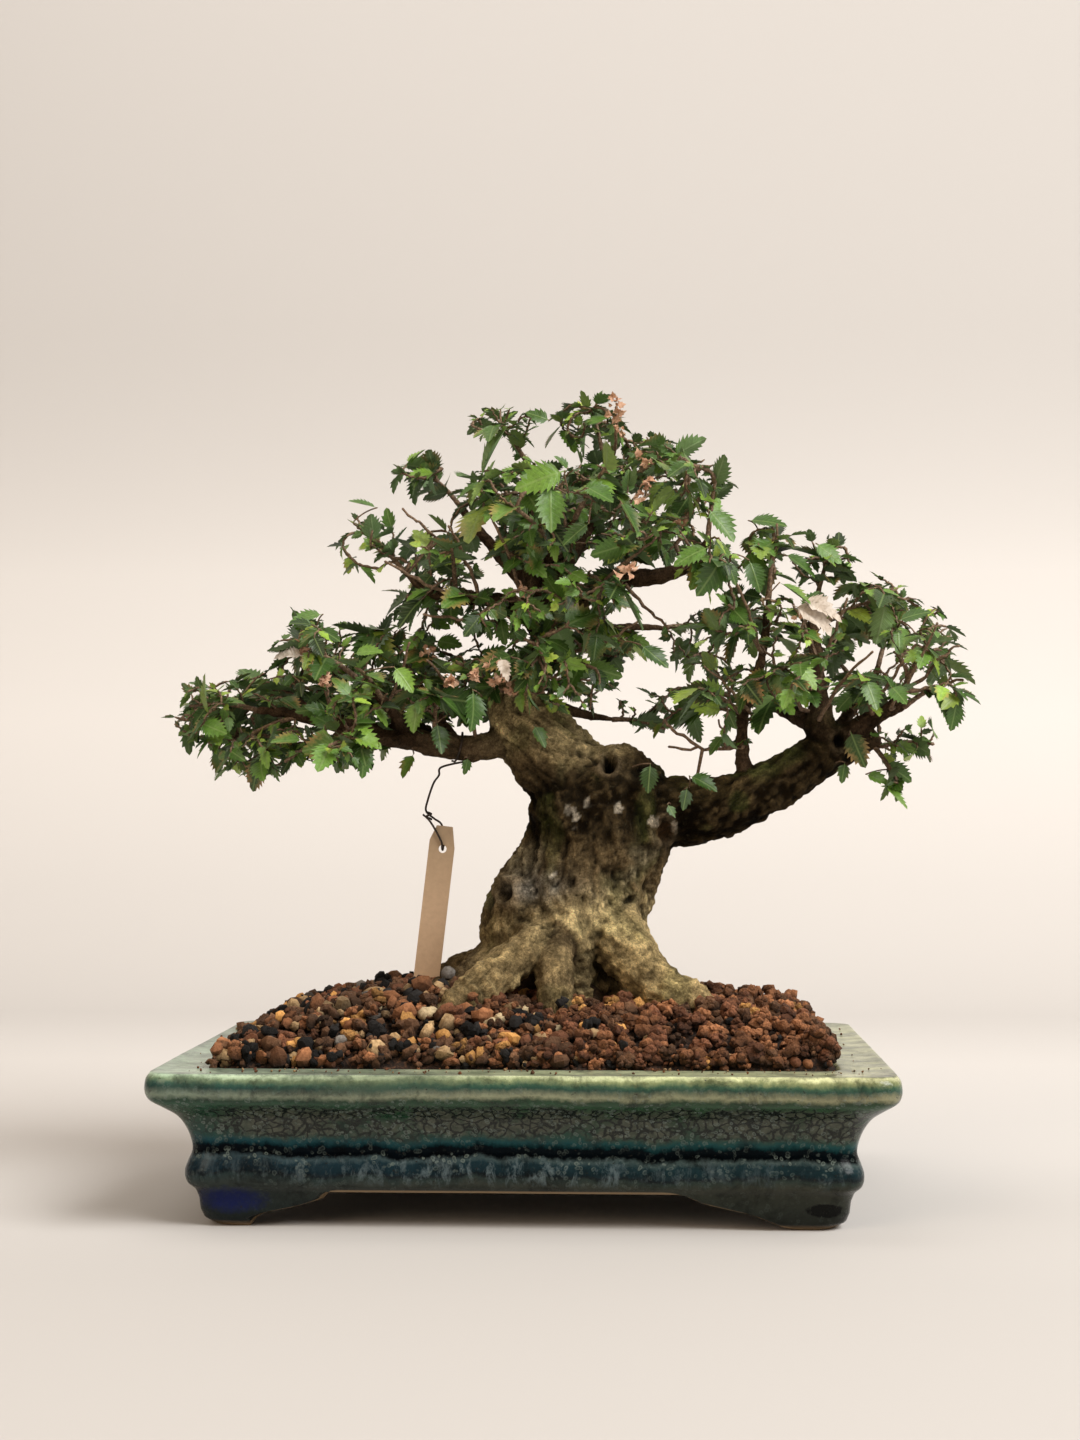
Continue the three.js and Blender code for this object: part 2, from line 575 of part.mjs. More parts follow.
// The path of a shoot, which leaves its limb in a bow. Turning it swings its end round the
// upright line through its root.
function shootCurve([, limb, share, end], turn = 0) {
  const root = limbCurve(LIMBS[limb]).getPoint(share);
  const tip = vec(end).sub(root).applyAxisAngle(up, turn).add(root);
  const bend = root.clone().lerp(tip, 0.5);
  bend.z += SHOOT_BOW * root.distanceTo(tip);
  return new THREE.QuadraticBezierCurve3(root, bend, tip);
}

// One side of the toothed outline, as shares of the length and of the half width.
const LEAF_TEETH = [[0.34, 1], [0.46, 0.74], [0.68, 0.72]];

// Corners of a leaf blade from its widest tooth round the tip and back, first the upper face
// and then the lower one. The blade is folded along its midrib and droops towards its tip.
function leafCorners({ base, along, normal, length }) {
  const side = along.clone().cross(normal).normalize();
  const facing = side.clone().cross(along).normalize();
  const half = LEAF_HALF_WIDTH_SHARE * length;
  const outline = [...LEAF_TEETH, [1, 0], ...LEAF_TEETH.map(([s, w]) => [s, -w]).reverse()];
  const rise = (s, w) => (LEAF_FOLD * Math.abs(w) - LEAF_DROOP * s * s) * half;
  return [0.5, -0.5].map((layer) => outline.map(([s, w]) => base.clone()
    .addScaledVector(along, s * length)
    .addScaledVector(side, w * half)
    .addScaledVector(facing, layer * LEAF_THICKNESS + rise(s, w))));
}

// Triangles of a leaf whose foot is the four given corners: upper right, upper left, lower
// right and lower left. Both faces are split alike. The foot itself stays open.
function leafFaces(foot, firstCorner) {
  const [upperRight, upperLeft, lowerRight, lowerLeft] = foot;
  const count = 2 * LEAF_TEETH.length + 1;
  const layer = (right, left, start) => [right, ...Array.from({ length: count }, (_, i) => start + i), left];
  const upper = layer(upperRight, upperLeft, firstCorner);
  const lower = layer(lowerRight, lowerLeft, firstCorner + count);
  const split = [[0, 1, 2], [0, 2, 4], [2, 3, 4], [0, 4, 8], [8, 4, 6], [4, 5, 6], [8, 6, 7]];
  const index = [];
  split.forEach(([a, b, c]) => {
    index.push(upper[a], upper[b], upper[c]);
    index.push(lower[a], lower[c], lower[b]);
  });
  for (let i = 0; i < upper.length - 1; i += 1) {
    index.push(lower[i], lower[i + 1], upper[i + 1], lower[i], upper[i + 1], upper[i]);
  }
  return index;
}

// Corners of a shoot's three-sided stem: below, above on the right, and above on the left.
function stemRing(curve, share) {
  const forward = curve.getTangent(share);
  const right = forward.clone().cross(up).normalize();
  const over = right.clone().cross(forward);
  const radius = THREE.MathUtils.lerp(...SHOOT_RADII, share);
  return [[0, -1], [0.87, 0.5], [-0.87, 0.5]].map(([x, y]) => curve.getPoint(share)
    .addScaledVector(right, x * radius)
    .addScaledVector(over, y * radius));
}

// A shoot with its leaves in two ranks: a three-sided stem with two close rings at each place
// for a leaf. Where it has one, a side face between those rings is left out, and the blade grows
// from the edges of that face.
function leafyShoot(curve, leaves) {
  const halfNode = NODE_HALF_LENGTH / curve.getLength();
  const shares = [0, ...LEAF_NODES.flatMap((share) => [share - halfNode, share + halfNode])];
  const corners = shares.flatMap((share) => stemRing(curve, share));
  const index = [];
  const openFaces = LEAF_NODES.map(() => null);
  leaves.forEach(({ rank, toRight }) => {
    openFaces[rank] = toRight ? 0 : 2;
  });
  for (let ring = 0; ring < shares.length - 1; ring += 1) {
    const a = 3 * ring;
    const b = a + 3;
    for (let k = 0; k < 3; k += 1) {
      const j = (k + 1) % 3;
      if (ring % 2 === 0 || k !== openFaces[(ring - 1) / 2]) {
        index.push(a + k, b + j, a + j, a + k, b + k, b + j);
      }
    }
  }
  index.push(0, 1, 2);
  const last = 3 * (shares.length - 1);
  const point = corners.push(curve.getPoint(1).addScaledVector(curve.getTangent(1), 1.2)) - 1;
  index.push(last + 1, last, point, last + 2, last + 1, point, last, last + 2, point);
  leaves.forEach((leaf) => {
    const rear = 3 * (2 * leaf.rank + 1);
    const front = rear + 3;
    const foot = leaf.toRight ? [rear + 1, front + 1, rear, front] : [front + 2, rear + 2, front, rear];
    index.push(...leafFaces(foot, corners.length));
    corners.push(...leafCorners(leaf).flat());
  });
  const geometry = new THREE.BufferGeometry().setFromPoints(corners);
  geometry.setIndex(index);
  return solidOf(geometry);
}

// A leaf by itself, closed at its foot, for testing that it is clear of its neighbours.
function loneLeaf(curve, leaf) {
  const halfNode = NODE_HALF_LENGTH / curve.getLength();
  const [rear, front] = [-halfNode, halfNode].map((step) => stemRing(curve, LEAF_NODES[leaf.rank] + step));
  const foot = leaf.toRight
    ? [rear[1], front[1], rear[0], front[0]]
    : [front[2], rear[2], front[0], rear[0]];
  const geometry = new THREE.BufferGeometry().setFromPoints([...foot, ...leafCorners(leaf).flat()]);
  geometry.setIndex([...leafFaces([0, 1, 2, 3], 4), 3, 2, 1, 2, 0, 1]);
  return solidOf(geometry);
}

// Where each leaf of a shoot starts and points: sideways and forwards, drooping a little, with
// a turn and a roll that change from one try to the next.
function leafOf(curve, shoot, rank, attempt) {
  const share = LEAF_NODES[rank];
  const toRight = (rank + shoot) % 2 === 0;
  const hand = toRight ? 1 : -1;
  const forward = curve.getTangent(share);
  const right = forward.clone().cross(up).normalize().multiplyScalar(hand);
  const over = right.clone().cross(forward).multiplyScalar(hand);
  const swing = LEAF_SWING + LEAF_SWING_SPREAD * Math.sin(2.1 * attempt + rank);
  const lift = LEAF_LIFT + LEAF_LIFT_SPREAD * Math.sin(1.7 * attempt + shoot);
  const roll = LEAF_ROLL_SPREAD * Math.sin(2.6 * attempt + 1.3 * rank);
  const along = forward.clone().multiplyScalar(Math.cos(swing))
    .addScaledVector(right, Math.sin(swing))
    .addScaledVector(over, lift)
    .normalize();
  const normal = over.clone().addScaledVector(right, roll).addScaledVector(along, -0.2).normalize();
  const length = LEAF_LENGTHS[(shoot + 2 * rank) % LEAF_LENGTHS.length] - attempt / 2;
  return { rank, toRight, base: curve.getPoint(share), along, normal, length };
}

function boxesMeet(a, b, room) {
  return [0, 1, 2].every((axis) => a.min[axis] - room < b.max[axis] && b.min[axis] - room < a.max[axis]);
}

function isClear(solid, others) {
  const box = solid.boundingBox();
  return others.every((other) => !boxesMeet(box, other.box, LEAST_GAP)
    || solid.minGap(other.solid, 2 * LEAST_GAP) >= LEAST_GAP);
}

const withBox = (solid) => ({ solid, box: solid.boundingBox() });

// Sprays: all the bare shoots first, each swung until it is clear of the others, then their
// leaves, each turned until it is clear of every neighbour and of its own stem, or left off.
function buildSprays(obstacles, woodSeat) {
  const stems = [];
  SHOOTS.forEach((shoot) => {
    for (let attempt = 0; attempt < SHOOT_TRIES; attempt += 1) {
      const curve = shootCurve(shoot, (attempt % 2 ? SHOOT_TURN : -SHOOT_TURN) * Math.ceil(attempt / 2));
      const stem = { curve, ...withBox(largest(leafyShoot(curve, []).subtract(woodSeat))) };
      if (isClear(stem.solid, [...obstacles, ...stems])) {
        stems.push(stem);
        return;
      }
    }
    throw new Error(`${shoot[0]} is not clear of its neighbours`);
  });
  const placed = stems.map(() => []);
  stems.forEach(({ curve }, i) => {
    const own = stems[i].solid;
    for (let rank = 0; rank < LEAF_NODES.length; rank += 1) {
      const others = [...obstacles, ...stems.filter((stem, k) => k !== i), ...placed.flat()];
      for (let attempt = 0; attempt < LEAF_TRIES; attempt += 1) {
        const leaf = leafOf(curve, i, rank, attempt);
        const alone = withBox(loneLeaf(curve, leaf));
        if (alone.solid.intersect(own).volume() < STEM_OVERLAP && isClear(alone.solid, others)) {
          placed[i].push({ leaf, ...alone });
          break;
        }
      }
    }
  });
  return SHOOTS.map(([name], i) => {
    const solid = leafyShoot(stems[i].curve, placed[i].map(({ leaf }) => leaf));
    return [name, largest(solid.subtract(woodSeat))];
  });
}

// Materials
const material = (color, roughness, metalness = 0) => (
  new THREE.MeshStandardMaterial({ color, roughness, metalness })
);
const glaze = material(0x2f5c55, 0.25);
const soilMix = material(0x6b3b24, 0.95);
const bark = material(0x6a5a44, 0.85);
const foliage = material(0x2f5f34, 0.55);
const labelFilm = material(0xb9a184, 0.5);
const ironWire = material(0x2a2622, 0.5, 0.8);
const screenNet = material(0x1c1c1c, 0.7);

const trunk = buildTrunk();
const woodSeat = buildTrunk(SEAT_GAP);
const label = buildLabel();
const wire = buildWire();
const soil = buildSoil([woodSeat, placeLabel(labelShape(CLEARANCE), LABEL_THICKNESS + 2 * CLEARANCE),
  screenSeat(-1), screenSeat(1)]);
const pieces = [
  ['pot', buildPot(), glaze],
  ['soil', soil, soilMix],
  ['trunk', trunk, bark],
  ['plant_label', label, labelFilm],
  ['label_wire', wire, ironWire],
  ['drain_screen_left', buildScreen(-1), screenNet],
  ['drain_screen_right', buildScreen(1), screenNet],
];
const obstacles = [trunk, label, wire].map(withBox);
buildSprays(obstacles, woodSeat).forEach(([name, solid]) => pieces.push([`spray_${name}`, solid, foliage]));

const elm = new THREE.Group();
const footprint = new THREE.Box3();
pieces.forEach(([name, solid, finish]) => {
  const mesh = new THREE.Mesh(geometryOf(solid), finish);
  mesh.name = name;
  mesh.geometry.computeBoundingBox();
  footprint.union(mesh.geometry.boundingBox);
  elm.add(mesh);
});
const middle = footprint.getCenter(new THREE.Vector3());
elm.children.forEach((mesh) => mesh.geometry.translate(-middle.x, -middle.y, -footprint.min.z));

export default elm;
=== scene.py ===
import bpy
import numpy as np
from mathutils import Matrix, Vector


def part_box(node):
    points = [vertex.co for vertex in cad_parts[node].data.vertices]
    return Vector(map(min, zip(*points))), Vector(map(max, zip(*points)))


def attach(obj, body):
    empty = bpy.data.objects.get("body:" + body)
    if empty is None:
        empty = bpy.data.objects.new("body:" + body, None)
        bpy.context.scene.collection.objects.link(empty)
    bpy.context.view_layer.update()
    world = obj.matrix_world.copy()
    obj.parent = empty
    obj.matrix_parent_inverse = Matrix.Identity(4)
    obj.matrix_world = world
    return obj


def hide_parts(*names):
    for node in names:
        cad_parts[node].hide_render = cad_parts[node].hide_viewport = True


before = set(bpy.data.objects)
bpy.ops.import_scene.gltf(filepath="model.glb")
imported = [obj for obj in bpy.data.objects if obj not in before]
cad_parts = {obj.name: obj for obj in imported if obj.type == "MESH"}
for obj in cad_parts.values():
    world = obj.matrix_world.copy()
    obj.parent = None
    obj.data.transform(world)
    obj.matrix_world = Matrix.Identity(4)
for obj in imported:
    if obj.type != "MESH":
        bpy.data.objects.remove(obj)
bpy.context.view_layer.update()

# Camera, light and table: a long lens at the height of the lower limbs, turned a little to the
# left and up, a pale table that runs up into a pale wall, and soft light from the right.
pot_low, pot_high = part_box("pot")
POT_MIDDLE = np.array([(pot_low.x + pot_high.x) / 2, 0.0, 0.0])
EYE = np.array([60.0, -1242.5, 212.6])
FOCAL_IN_PHOTO = 2214
PHOTO_HEIGHT = 1440
SENSOR_HEIGHT = 36
YAW_LEFT = 2.59
PITCH_UP = 2.28
WALL_DISTANCE = 1.9
WALL_HEIGHT = 3.2
WALL_BEND = 0.9
STAGE_HALF_WIDTH = 3.2
STAGE_FRONT = -3.5
ROOM_COLOUR = (1.0, 0.81, 0.63, 1)
ROOM_STRENGTH = 0.365
PAPER_TINT = (1, 0.970, 0.945)
# Grey of the paper at shares of its depth, from front to back: painted light and shade, in place of the
# lamps' fall-off over the floor and up the wall.
PAPER_PAINTED_LIGHT_GREYS = (
    (0.1, 0.525), (0.3, 0.60), (0.45, 0.64), (0.62, 0.572),
    (0.78, 0.612), (0.88, 0.672), (0.93, 0.635), (0.97, 0.492),
)
ATTRIBUTE_KINDS = {1: ("FLOAT", "value"), 3: ("FLOAT_VECTOR", "vector"), 4: ("FLOAT_COLOR", "color")}


def in_row(points):
    """Millimetres from the middle of the pot's footprint, as the part is drawn, in the row frame's metres."""
    return np.asarray(points, float) * 0.001 + POT_MIDDLE


def on_sight(x, z, depth):
    """Points at given depths that the front view shows at x and z in the plane through the pot's middle."""
    reach = (depth - EYE[1]) / -EYE[1]
    x, z = EYE[0] + (x - EYE[0]) * reach, EYE[2] + (z - EYE[2]) * reach
    return np.stack(np.broadcast_arrays(x, depth, z), -1)


def add_node(tree, kind, values=None, **settings):
    """A shader node with its settings and inputs: a socket given as a value is linked, any other is set."""
    made = tree.nodes.new("ShaderNode" + kind)
    for name, value in settings.items():
        setattr(made, name, value)
    for key, value in (values or {}).items():
        if isinstance(value, bpy.types.NodeSocket):
            tree.links.new(value, made.inputs[key])
        else:
            made.inputs[key].default_value = value
    return made


def new_material(name, **shader_values):
    """An empty material with its tree, its surface shader and its Object coordinates."""
    made = bpy.data.materials.new(name)
    made.use_nodes = True
    tree = made.node_tree
    shader = tree.nodes["Principled BSDF"]
    for key, value in shader_values.items():
        shader.inputs[key.replace("_", " ").capitalize()].default_value = value
    place = add_node(tree, "TexCoord").outputs["Object"]
    return made, tree, shader, place


def ramp(tree, factor, stops):
    """Colour from a factor: stops are [place, colour], and a colour is three numbers or one grey."""
    made = add_node(tree, "ValToRGB", {"Fac": factor})
    scale = made.color_ramp
    while len(scale.elements) < len(stops):
        scale.elements.new(0.5)
    for element, (spot, colour) in zip(scale.elements, sorted(stops, key=lambda stop: stop[0])):
        element.position = spot
        element.color = (*(colour if np.ndim(colour) else (colour,) * 3), 1)
    return made.outputs["Color"]


def maths(tree, operation, *values):
    """One arithmetic step on sockets or numbers."""
    return add_node(tree, "Math", dict(enumerate(values)), operation=operation).outputs[0]


def grid_faces(rows, columns, first=0, closed=True):
    """Quads between neighbouring rows of a grid of points, joined round from the last column to the first."""
    row = np.arange(rows - 1)[:, None] * columns
    column = np.arange(columns if closed else columns - 1)[None, :]
    following = (column + 1) % columns
    corners = [row + column, row + following, row + columns + following, row + columns + column]
    return np.stack(np.broadcast_arrays(*corners), -1).reshape(-1, 4) + first


def fan_faces(pole, start, columns, upwards):
    """Triangles from one pole point to each pair of neighbours in the ring that begins at start."""
    here = np.arange(columns)
    after = (here + 1) % columns
    pair = (start + here, start + after) if upwards else (start + after, start + here)
    return np.stack([*pair, np.full(columns, pole)], -1)


def store(mesh, key, values):
    """Values for each point of a mesh: one number, a vector of three or a colour of four."""
    kind, field = ATTRIBUTE_KINDS[values.shape[1] if values.ndim > 1 else 1]
    made = mesh.attributes.new(key, kind, "POINT")
    made.data.foreach_set(field, np.asarray(values, np.float32).ravel())


def make_piece(name, points, face_sets, materials, attributes=None, kinds=None):
    """A mesh object in the row frame from points in metres and arrays of faces with 3 or 4 corners each.
    Attributes are values for each point, and kinds is each face's place in the list of materials."""
    mesh = bpy.data.meshes.new(name)
    face_sets = [np.asarray(faces, np.int32) for faces in face_sets if len(faces)]
    sizes = np.concatenate([np.full(len(faces), faces.shape[1], np.int32) for faces in face_sets])
    corners = np.concatenate([faces.ravel() for faces in face_sets])
    mesh.vertices.add(len(points))
    mesh.vertices.foreach_set("co", np.asarray(points, np.float32).ravel())
    mesh.loops.add(len(corners))
    mesh.loops.foreach_set("vertex_index", corners)
    mesh.polygons.add(len(sizes))
    mesh.polygons.foreach_set("loop_start", np.concatenate([[0], np.cumsum(sizes)[:-1]]).astype(np.int32))
    mesh.polygons.foreach_set("use_smooth", np.ones(len(sizes), bool))
    if kinds is not None:
        mesh.polygons.foreach_set("material_index", np.asarray(kinds, np.int32))
    mesh.update(calc_edges=True)
    for key, values in (attributes or {}).items():
        store(mesh, key, values)
    for made in materials:
        mesh.materials.append(made)
    piece = bpy.data.objects.new(name, mesh)
    bpy.context.scene.collection.objects.link(piece)
    return piece


camera_lens = bpy.data.cameras.new("camera")
camera_lens.sensor_fit = "VERTICAL"
camera_lens.sensor_height = SENSOR_HEIGHT
camera_lens.lens = SENSOR_HEIGHT * FOCAL_IN_PHOTO / PHOTO_HEIGHT
camera = bpy.data.objects.new("camera", camera_lens)
camera.location = in_row(EYE)
camera.rotation_euler = np.radians([90 + PITCH_UP, 0, YAW_LEFT])
bpy.context.scene.collection.objects.link(camera)
bpy.context.scene.camera = camera
bpy.context.scene.view_settings.view_transform = "Standard"


def soft_light(name, place, aim, size, power, colour):
    """A square lamp that faces its aim."""
    lamp = bpy.data.lights.new(name, "AREA")
    lamp.size = size
    lamp.energy = power
    lamp.color = colour
    held = bpy.data.objects.new(name, lamp)
    held.location = place
    held.visible_camera = False
    toward = np.subtract(aim, place)
    reach = np.hypot(toward[0], toward[1])
    held.rotation_euler = (np.arctan2(reach, -toward[2]), 0, np.arctan2(toward[1], toward[0]) - np.pi / 2)
    bpy.context.scene.collection.objects.link(held)


soft_light("window", (2.5, -1.7, 2.9), (0, 0, 0.15), 2.4, 230, (1.0, 0.984, 0.955))
soft_light("room", (-1.9, -2.3, 1.6), (0, 0, 0.2), 1.8, 30, (1.0, 0.82, 0.63))
soft_light("wall_wash", (-0.6, 0.5, 2.5), (-0.6, 1.9, 0.5), 1.6, 15, (1.0, 0.97, 0.94))
world = bpy.data.worlds.new("room_air")
world.use_nodes = True
world.node_tree.nodes["Background"].inputs["Color"].default_value = ROOM_COLOUR
world.node_tree.nodes["Background"].inputs["Strength"].default_value = ROOM_STRENGTH
bpy.context.scene.world = world


def sweep_of_paper(columns=24, rows=40):
    """A flat sheet that turns up through a quarter circle behind the part and goes on as a wall."""
    across = np.linspace(-STAGE_HALF_WIDTH, STAGE_HALF_WIDTH, columns)
    turn = np.linspace(0, np.pi / 2, rows)
    rounded = WALL_DISTANCE - WALL_BEND + WALL_BEND * np.sin(turn)
    depth = np.concatenate([[STAGE_FRONT], rounded, [WALL_DISTANCE]])
    height = np.concatenate([[0], WALL_BEND * (1 - np.cos(turn)), [WALL_HEIGHT]])
    grid = np.empty((rows + 2, columns, 3))
    grid[..., 0] = across
    grid[..., 1] = depth[:, None]
    grid[..., 2] = height[:, None]
    return grid.reshape(-1, 3), grid_faces(rows + 2, columns, closed=False)


# The paper's grey is painted light: it runs lighter and darker with depth, as the lamps would light it.
paper, tree, shader, place = new_material("cream_paper", Roughness=0.9)
depth = add_node(tree, "SeparateXYZ", {"Vector": place}).outputs["Y"]
shade = ramp(tree, maths(tree, "MULTIPLY_ADD", depth, 0.4, 0.2), [
    [spot, [grey * tone for tone in PAPER_TINT]] for spot, grey in PAPER_PAINTED_LIGHT_GREYS])
tree.links.new(shade, shader.inputs["Base Color"])
paper_points, paper_faces = sweep_of_paper()
make_piece("paper_sweep", paper_points, [paper_faces], [paper])

# Pot: one piece of stoneware, pressed in a mould, with a flared lip, a deep cove and a belly
# over four corner feet. Its copper glaze runs from green at the lip to navy in the cove.
POT_HALF = np.array([190.0, 142.5])
POT_CORNER = 13
RIM_WIDTH = 30
RIM_EASE = 2.5
POT_TOP = 80
POT_PROFILE = np.array([
    [31, 0], [26, 3.5], [24.3, 8], [23.6, 14], [22, 18.5], [19, 21.5], [17.7, 25], [17.6, 29],
    [18.8, 33], [20.8, 39], [19.5, 46], [17, 52], [13.5, 57], [8.5, 61], [3, 65], [0.8, 68], [0, 72],
    [0.6, 77], [2.5, 80],
])
APRON_BOTTOM = 18.7
APRON_TOP = 21.5
FOOT_START = 24.3
STEPPED_FOOT = np.array([
    [27, 0], [30, 4.6], [36, 6.8], [54.5, 10.6], [64, 13.6], [66.7, 17.2], [70, APRON_BOTTOM],
])
LONG_FOOT = np.array([[28, 0], [36, 1.5], [44, 4.5], [53.5, 8], [78, 13.6], [87, 17.7], [92.5, APRON_BOTTOM]])
SIDE_FOOT = np.array([[27, 0], [32, 4], [44, 8], [54, 13], [60, APRON_BOTTOM]])
FLOOR_UNDER = 20
FLOOR_TOP = 28
RECESS_INSET = 40
DRAIN_PLACE = 75
DRAIN_RADIUS = 12
DRILL_SIDES = 40
DRILL_REACH = (10, 40)
GLAZE_TOP = 0.082
# Stains on the front's glaze: x and z in metres, half width, half height, how far out it is full and has
# faded, as shares of those, and the colour.
STAINS = (
    (-0.148, 0.0145, 0.019, 0.0070, 0.1, 1.3, (0.005, 0.009, 0.060)),
    (0.152, 0.0108, 0.0095, 0.0036, 0.75, 1.05, (0.0005, 0.0005, 0.0005)),
)


def cloud(points, cell, seed=0):
    """Smooth chance values from -1 to 1: every corner of a lattice with this cell gets a value mixed from
    its own whole numbers, and a point takes the smoothly weighted mean of the eight corners round it."""
    spot = np.asarray(points, float) / cell + 37.7 * seed
    low = np.floor(spot).astype(np.int64)
    part = spot - low
    part = part * part * (3 - 2 * part)
    total = np.zeros(len(spot))
    for corner in np.ndindex(2, 2, 2):
        key = ((low + corner) * [73856093, 19349663, 83492791]).sum(1) + seed * 9277
        key = (key ^ (key >> 13)) * 1274126177 & 0x7FFFFFFF
        key = (key ^ (key >> 15)) * 668265263 & 0x7FFFFFFF
        total += np.prod(np.where(corner, part, 1 - part), axis=1) * ((key >> 8 & 0xFFFF) / 32767.5 - 1)
    return total


def ring_plan(side_steps=(84, 60), corner_steps=8):
    """The way round a rectangle with rounded corners: for each column the signs of its corner's centre,
    which run from one corner to the next along a side, and the direction outwards from that centre."""
    signs = np.array([[1, 1], [-1, 1], [-1, -1], [1, -1]], float)
    middle, angle = [], []
    for k in range(4):
        steps = side_steps[k % 2]
        share = np.arange(1, steps)[:, None] / steps
        middle += [np.repeat(signs[k:k + 1], corner_steps + 1, 0)]
        middle += [signs[k] + (signs[(k + 1) % 4] - signs[k]) * share]
        angle += [(k + np.arange(corner_steps + 1) / corner_steps) * np.pi / 2]
        angle += [np.full(steps - 1, (k + 1) * np.pi / 2)]
    angle = np.concatenate(angle)
    return np.concatenate(middle), np.stack([np.cos(angle), np.sin(angle)], -1)


def ring_points(plan, inset):
    """Points round the pot at each inset from its outline: corner centre plus corner radius outwards."""
    middle, outward = plan
    inset = np.atleast_1d(inset)[:, None, None]
    return middle * (POT_HALF - inset - POT_CORNER) + POT_CORNER * outward


def underside(points):
    """Height of the pot's lowest stoneware over a place in plan: the higher of the two arches that are
    cut through between the feet, front to back and side to side."""
    x, y = points[..., 0], points[..., 1]
    span_x, span_y = POT_HALF - FOOT_START
    front = np.minimum(np.interp(x + span_x, *STEPPED_FOOT.T), np.interp(span_x - x, *LONG_FOOT.T))
    side = np.minimum(np.interp(y + span_y, *SIDE_FOOT.T), np.interp(span_y - y, *SIDE_FOOT.T))
    return np.maximum(front, side)


def through(knots, place):
    """Points on a curve through the knots, at places counted in knots: each stretch is a cubic whose slope at
    a knot is half the step between that knot's neighbours, and past an end the knots go straight on."""
    knots = np.asarray(knots, float)
    place = np.atleast_1d(place).astype(float)
    ends = np.vstack([2 * knots[0] - knots[1], knots, 2 * knots[-1] - knots[-2]])
    k = np.clip(place.astype(int), 0, len(knots) - 2)
    t = (place - k)[:, None]
    a, b, c, d = (ends[k + i] for i in range(4))
    return 0.5 * (2 * b + (c - a) * t + (2 * a - 5 * b + 4 * c - d) * t ** 2
                  + (3 * b - a - 3 * c + d) * t ** 3)


def sampled(knots, count):
    """A number of points along the curve through the knots, at even places counted in knots."""
    return through(knots, np.linspace(0, len(knots) - 1, count))


def pot_surface():
    """Rings from the middle of the floor, up the inner wall, over the rim, down the profile to the arches,
    under the skirt and back to the middle of the underside. Below the apron the profile's lowest part is
    squeezed upwards, so that each column ends at the arch over it."""
    plan = ring_plan()
    inner = np.array([
        [120, FLOOR_TOP], [RIM_WIDTH + 2, FLOOR_TOP], [RIM_WIDTH, FLOOR_TOP + 2], [RIM_WIDTH, 50],
        [RIM_WIDTH, POT_TOP - RIM_EASE], [RIM_WIDTH - 0.7, POT_TOP - 0.9], [RIM_WIDTH - 2.4, POT_TOP - 0.1],
        [26, POT_TOP], [20, POT_TOP - 0.35], [13, POT_TOP - 0.45], [8, POT_TOP - 0.2],
        [5.2, POT_TOP + 0.05], [3.6, POT_TOP],
    ])
    outer = sampled(POT_PROFILE, 80)[::-1]
    sections = np.vstack([inner, outer])
    rings = np.empty((len(sections), len(plan[0]), 3))
    rings[..., :2] = ring_points(plan, sections[:, 0])
    rings[..., 2] = sections[:, 1, None]
    wall = rings[len(inner):]
    lowest = underside(wall[-1])
    squeezed = lowest + (wall[..., 2] / APRON_TOP) * (APRON_TOP - lowest)
    wall[..., 2] = np.where(wall[..., 2] < APRON_TOP, squeezed, wall[..., 2])
    inset = np.interp(wall[..., 2], POT_PROFILE[:, 1], POT_PROFILE[:, 0])
    low = sections[len(inner):, 1] < APRON_TOP
    place = plan[0][None] * (POT_HALF - inset[..., None] - POT_CORNER) + POT_CORNER * plan[1][None]
    wall[low, :, :2] = place[low]
    under = []
    for inset, height in [[RECESS_INSET - 6, None], [RECESS_INSET, None], [RECESS_INSET, 0.5],
                          [RECESS_INSET + 1, 1.0], [RECESS_INSET + 60, 1.0]]:
        ring = np.empty((len(plan[0]), 3))
        ring[:, :2] = ring_points(plan, inset)[0]
        skirt = underside(ring)
        ring[:, 2] = skirt if height is None else skirt + (FLOOR_UNDER - skirt) * height
        under.append(ring)
    rings = np.concatenate([rings, under])
    rows, columns = rings.shape[:2]
    poles = [[0, 0, FLOOR_TOP], [0, 0, FLOOR_UNDER]]
    points = np.vstack([rings.reshape(-1, 3), poles])
    faces = grid_faces(rows, columns)
    last = rows * columns
    caps = np.vstack([fan_faces(last, 0, columns, False), fan_faces(last + 1, last - columns, columns, True)])
    return points, faces[:, ::-1], caps[:, ::-1]


def applied(piece, *modifiers):
    """Runs each modifier, given as its kind and its settings, and leaves the result as the piece's mesh."""
    for kind, settings in modifiers:
        made = piece.modifiers.new(kind.lower(), kind)
        for key, value in settings.items():
            setattr(made, key, value)
    bpy.context.view_layer.update()
    result = bpy.data.meshes.new_from_object(piece.evaluated_get(bpy.context.evaluated_depsgraph_get()))
    piece.modifiers.clear()
    piece.data = result


def drained(piece):
    """Cuts the two drain holes through the floor."""
    turns = np.linspace(0, 2 * np.pi, DRILL_SIDES, endpoint=False)
    ring = np.stack([np.cos(turns) * DRAIN_RADIUS, np.sin(turns) * DRAIN_RADIUS, 0 * turns], -1)
    pole = 2 * DRILL_SIDES
    points, sides, ends = [], [], []
    for k, side in enumerate((-1, 1)):
        start = k * (pole + 2)
        points += [ring + [side * DRAIN_PLACE, 0, height] for height in DRILL_REACH]
        points.append([[side * DRAIN_PLACE, 0, height] for height in DRILL_REACH])
        sides.append(grid_faces(2, DRILL_SIDES, start))
        ends += [fan_faces(start + pole, start, DRILL_SIDES, False),
                 fan_faces(start + pole + 1, start + DRILL_SIDES, DRILL_SIDES, True)]
    drill = make_piece("drill", in_row(np.vstack(points)), [np.vstack(sides), np.vstack(ends)], [])
    applied(piece, ("BOOLEAN", {"object": drill, "operation": "DIFFERENCE", "solver": "EXACT"}))
    bpy.data.objects.remove(drill)


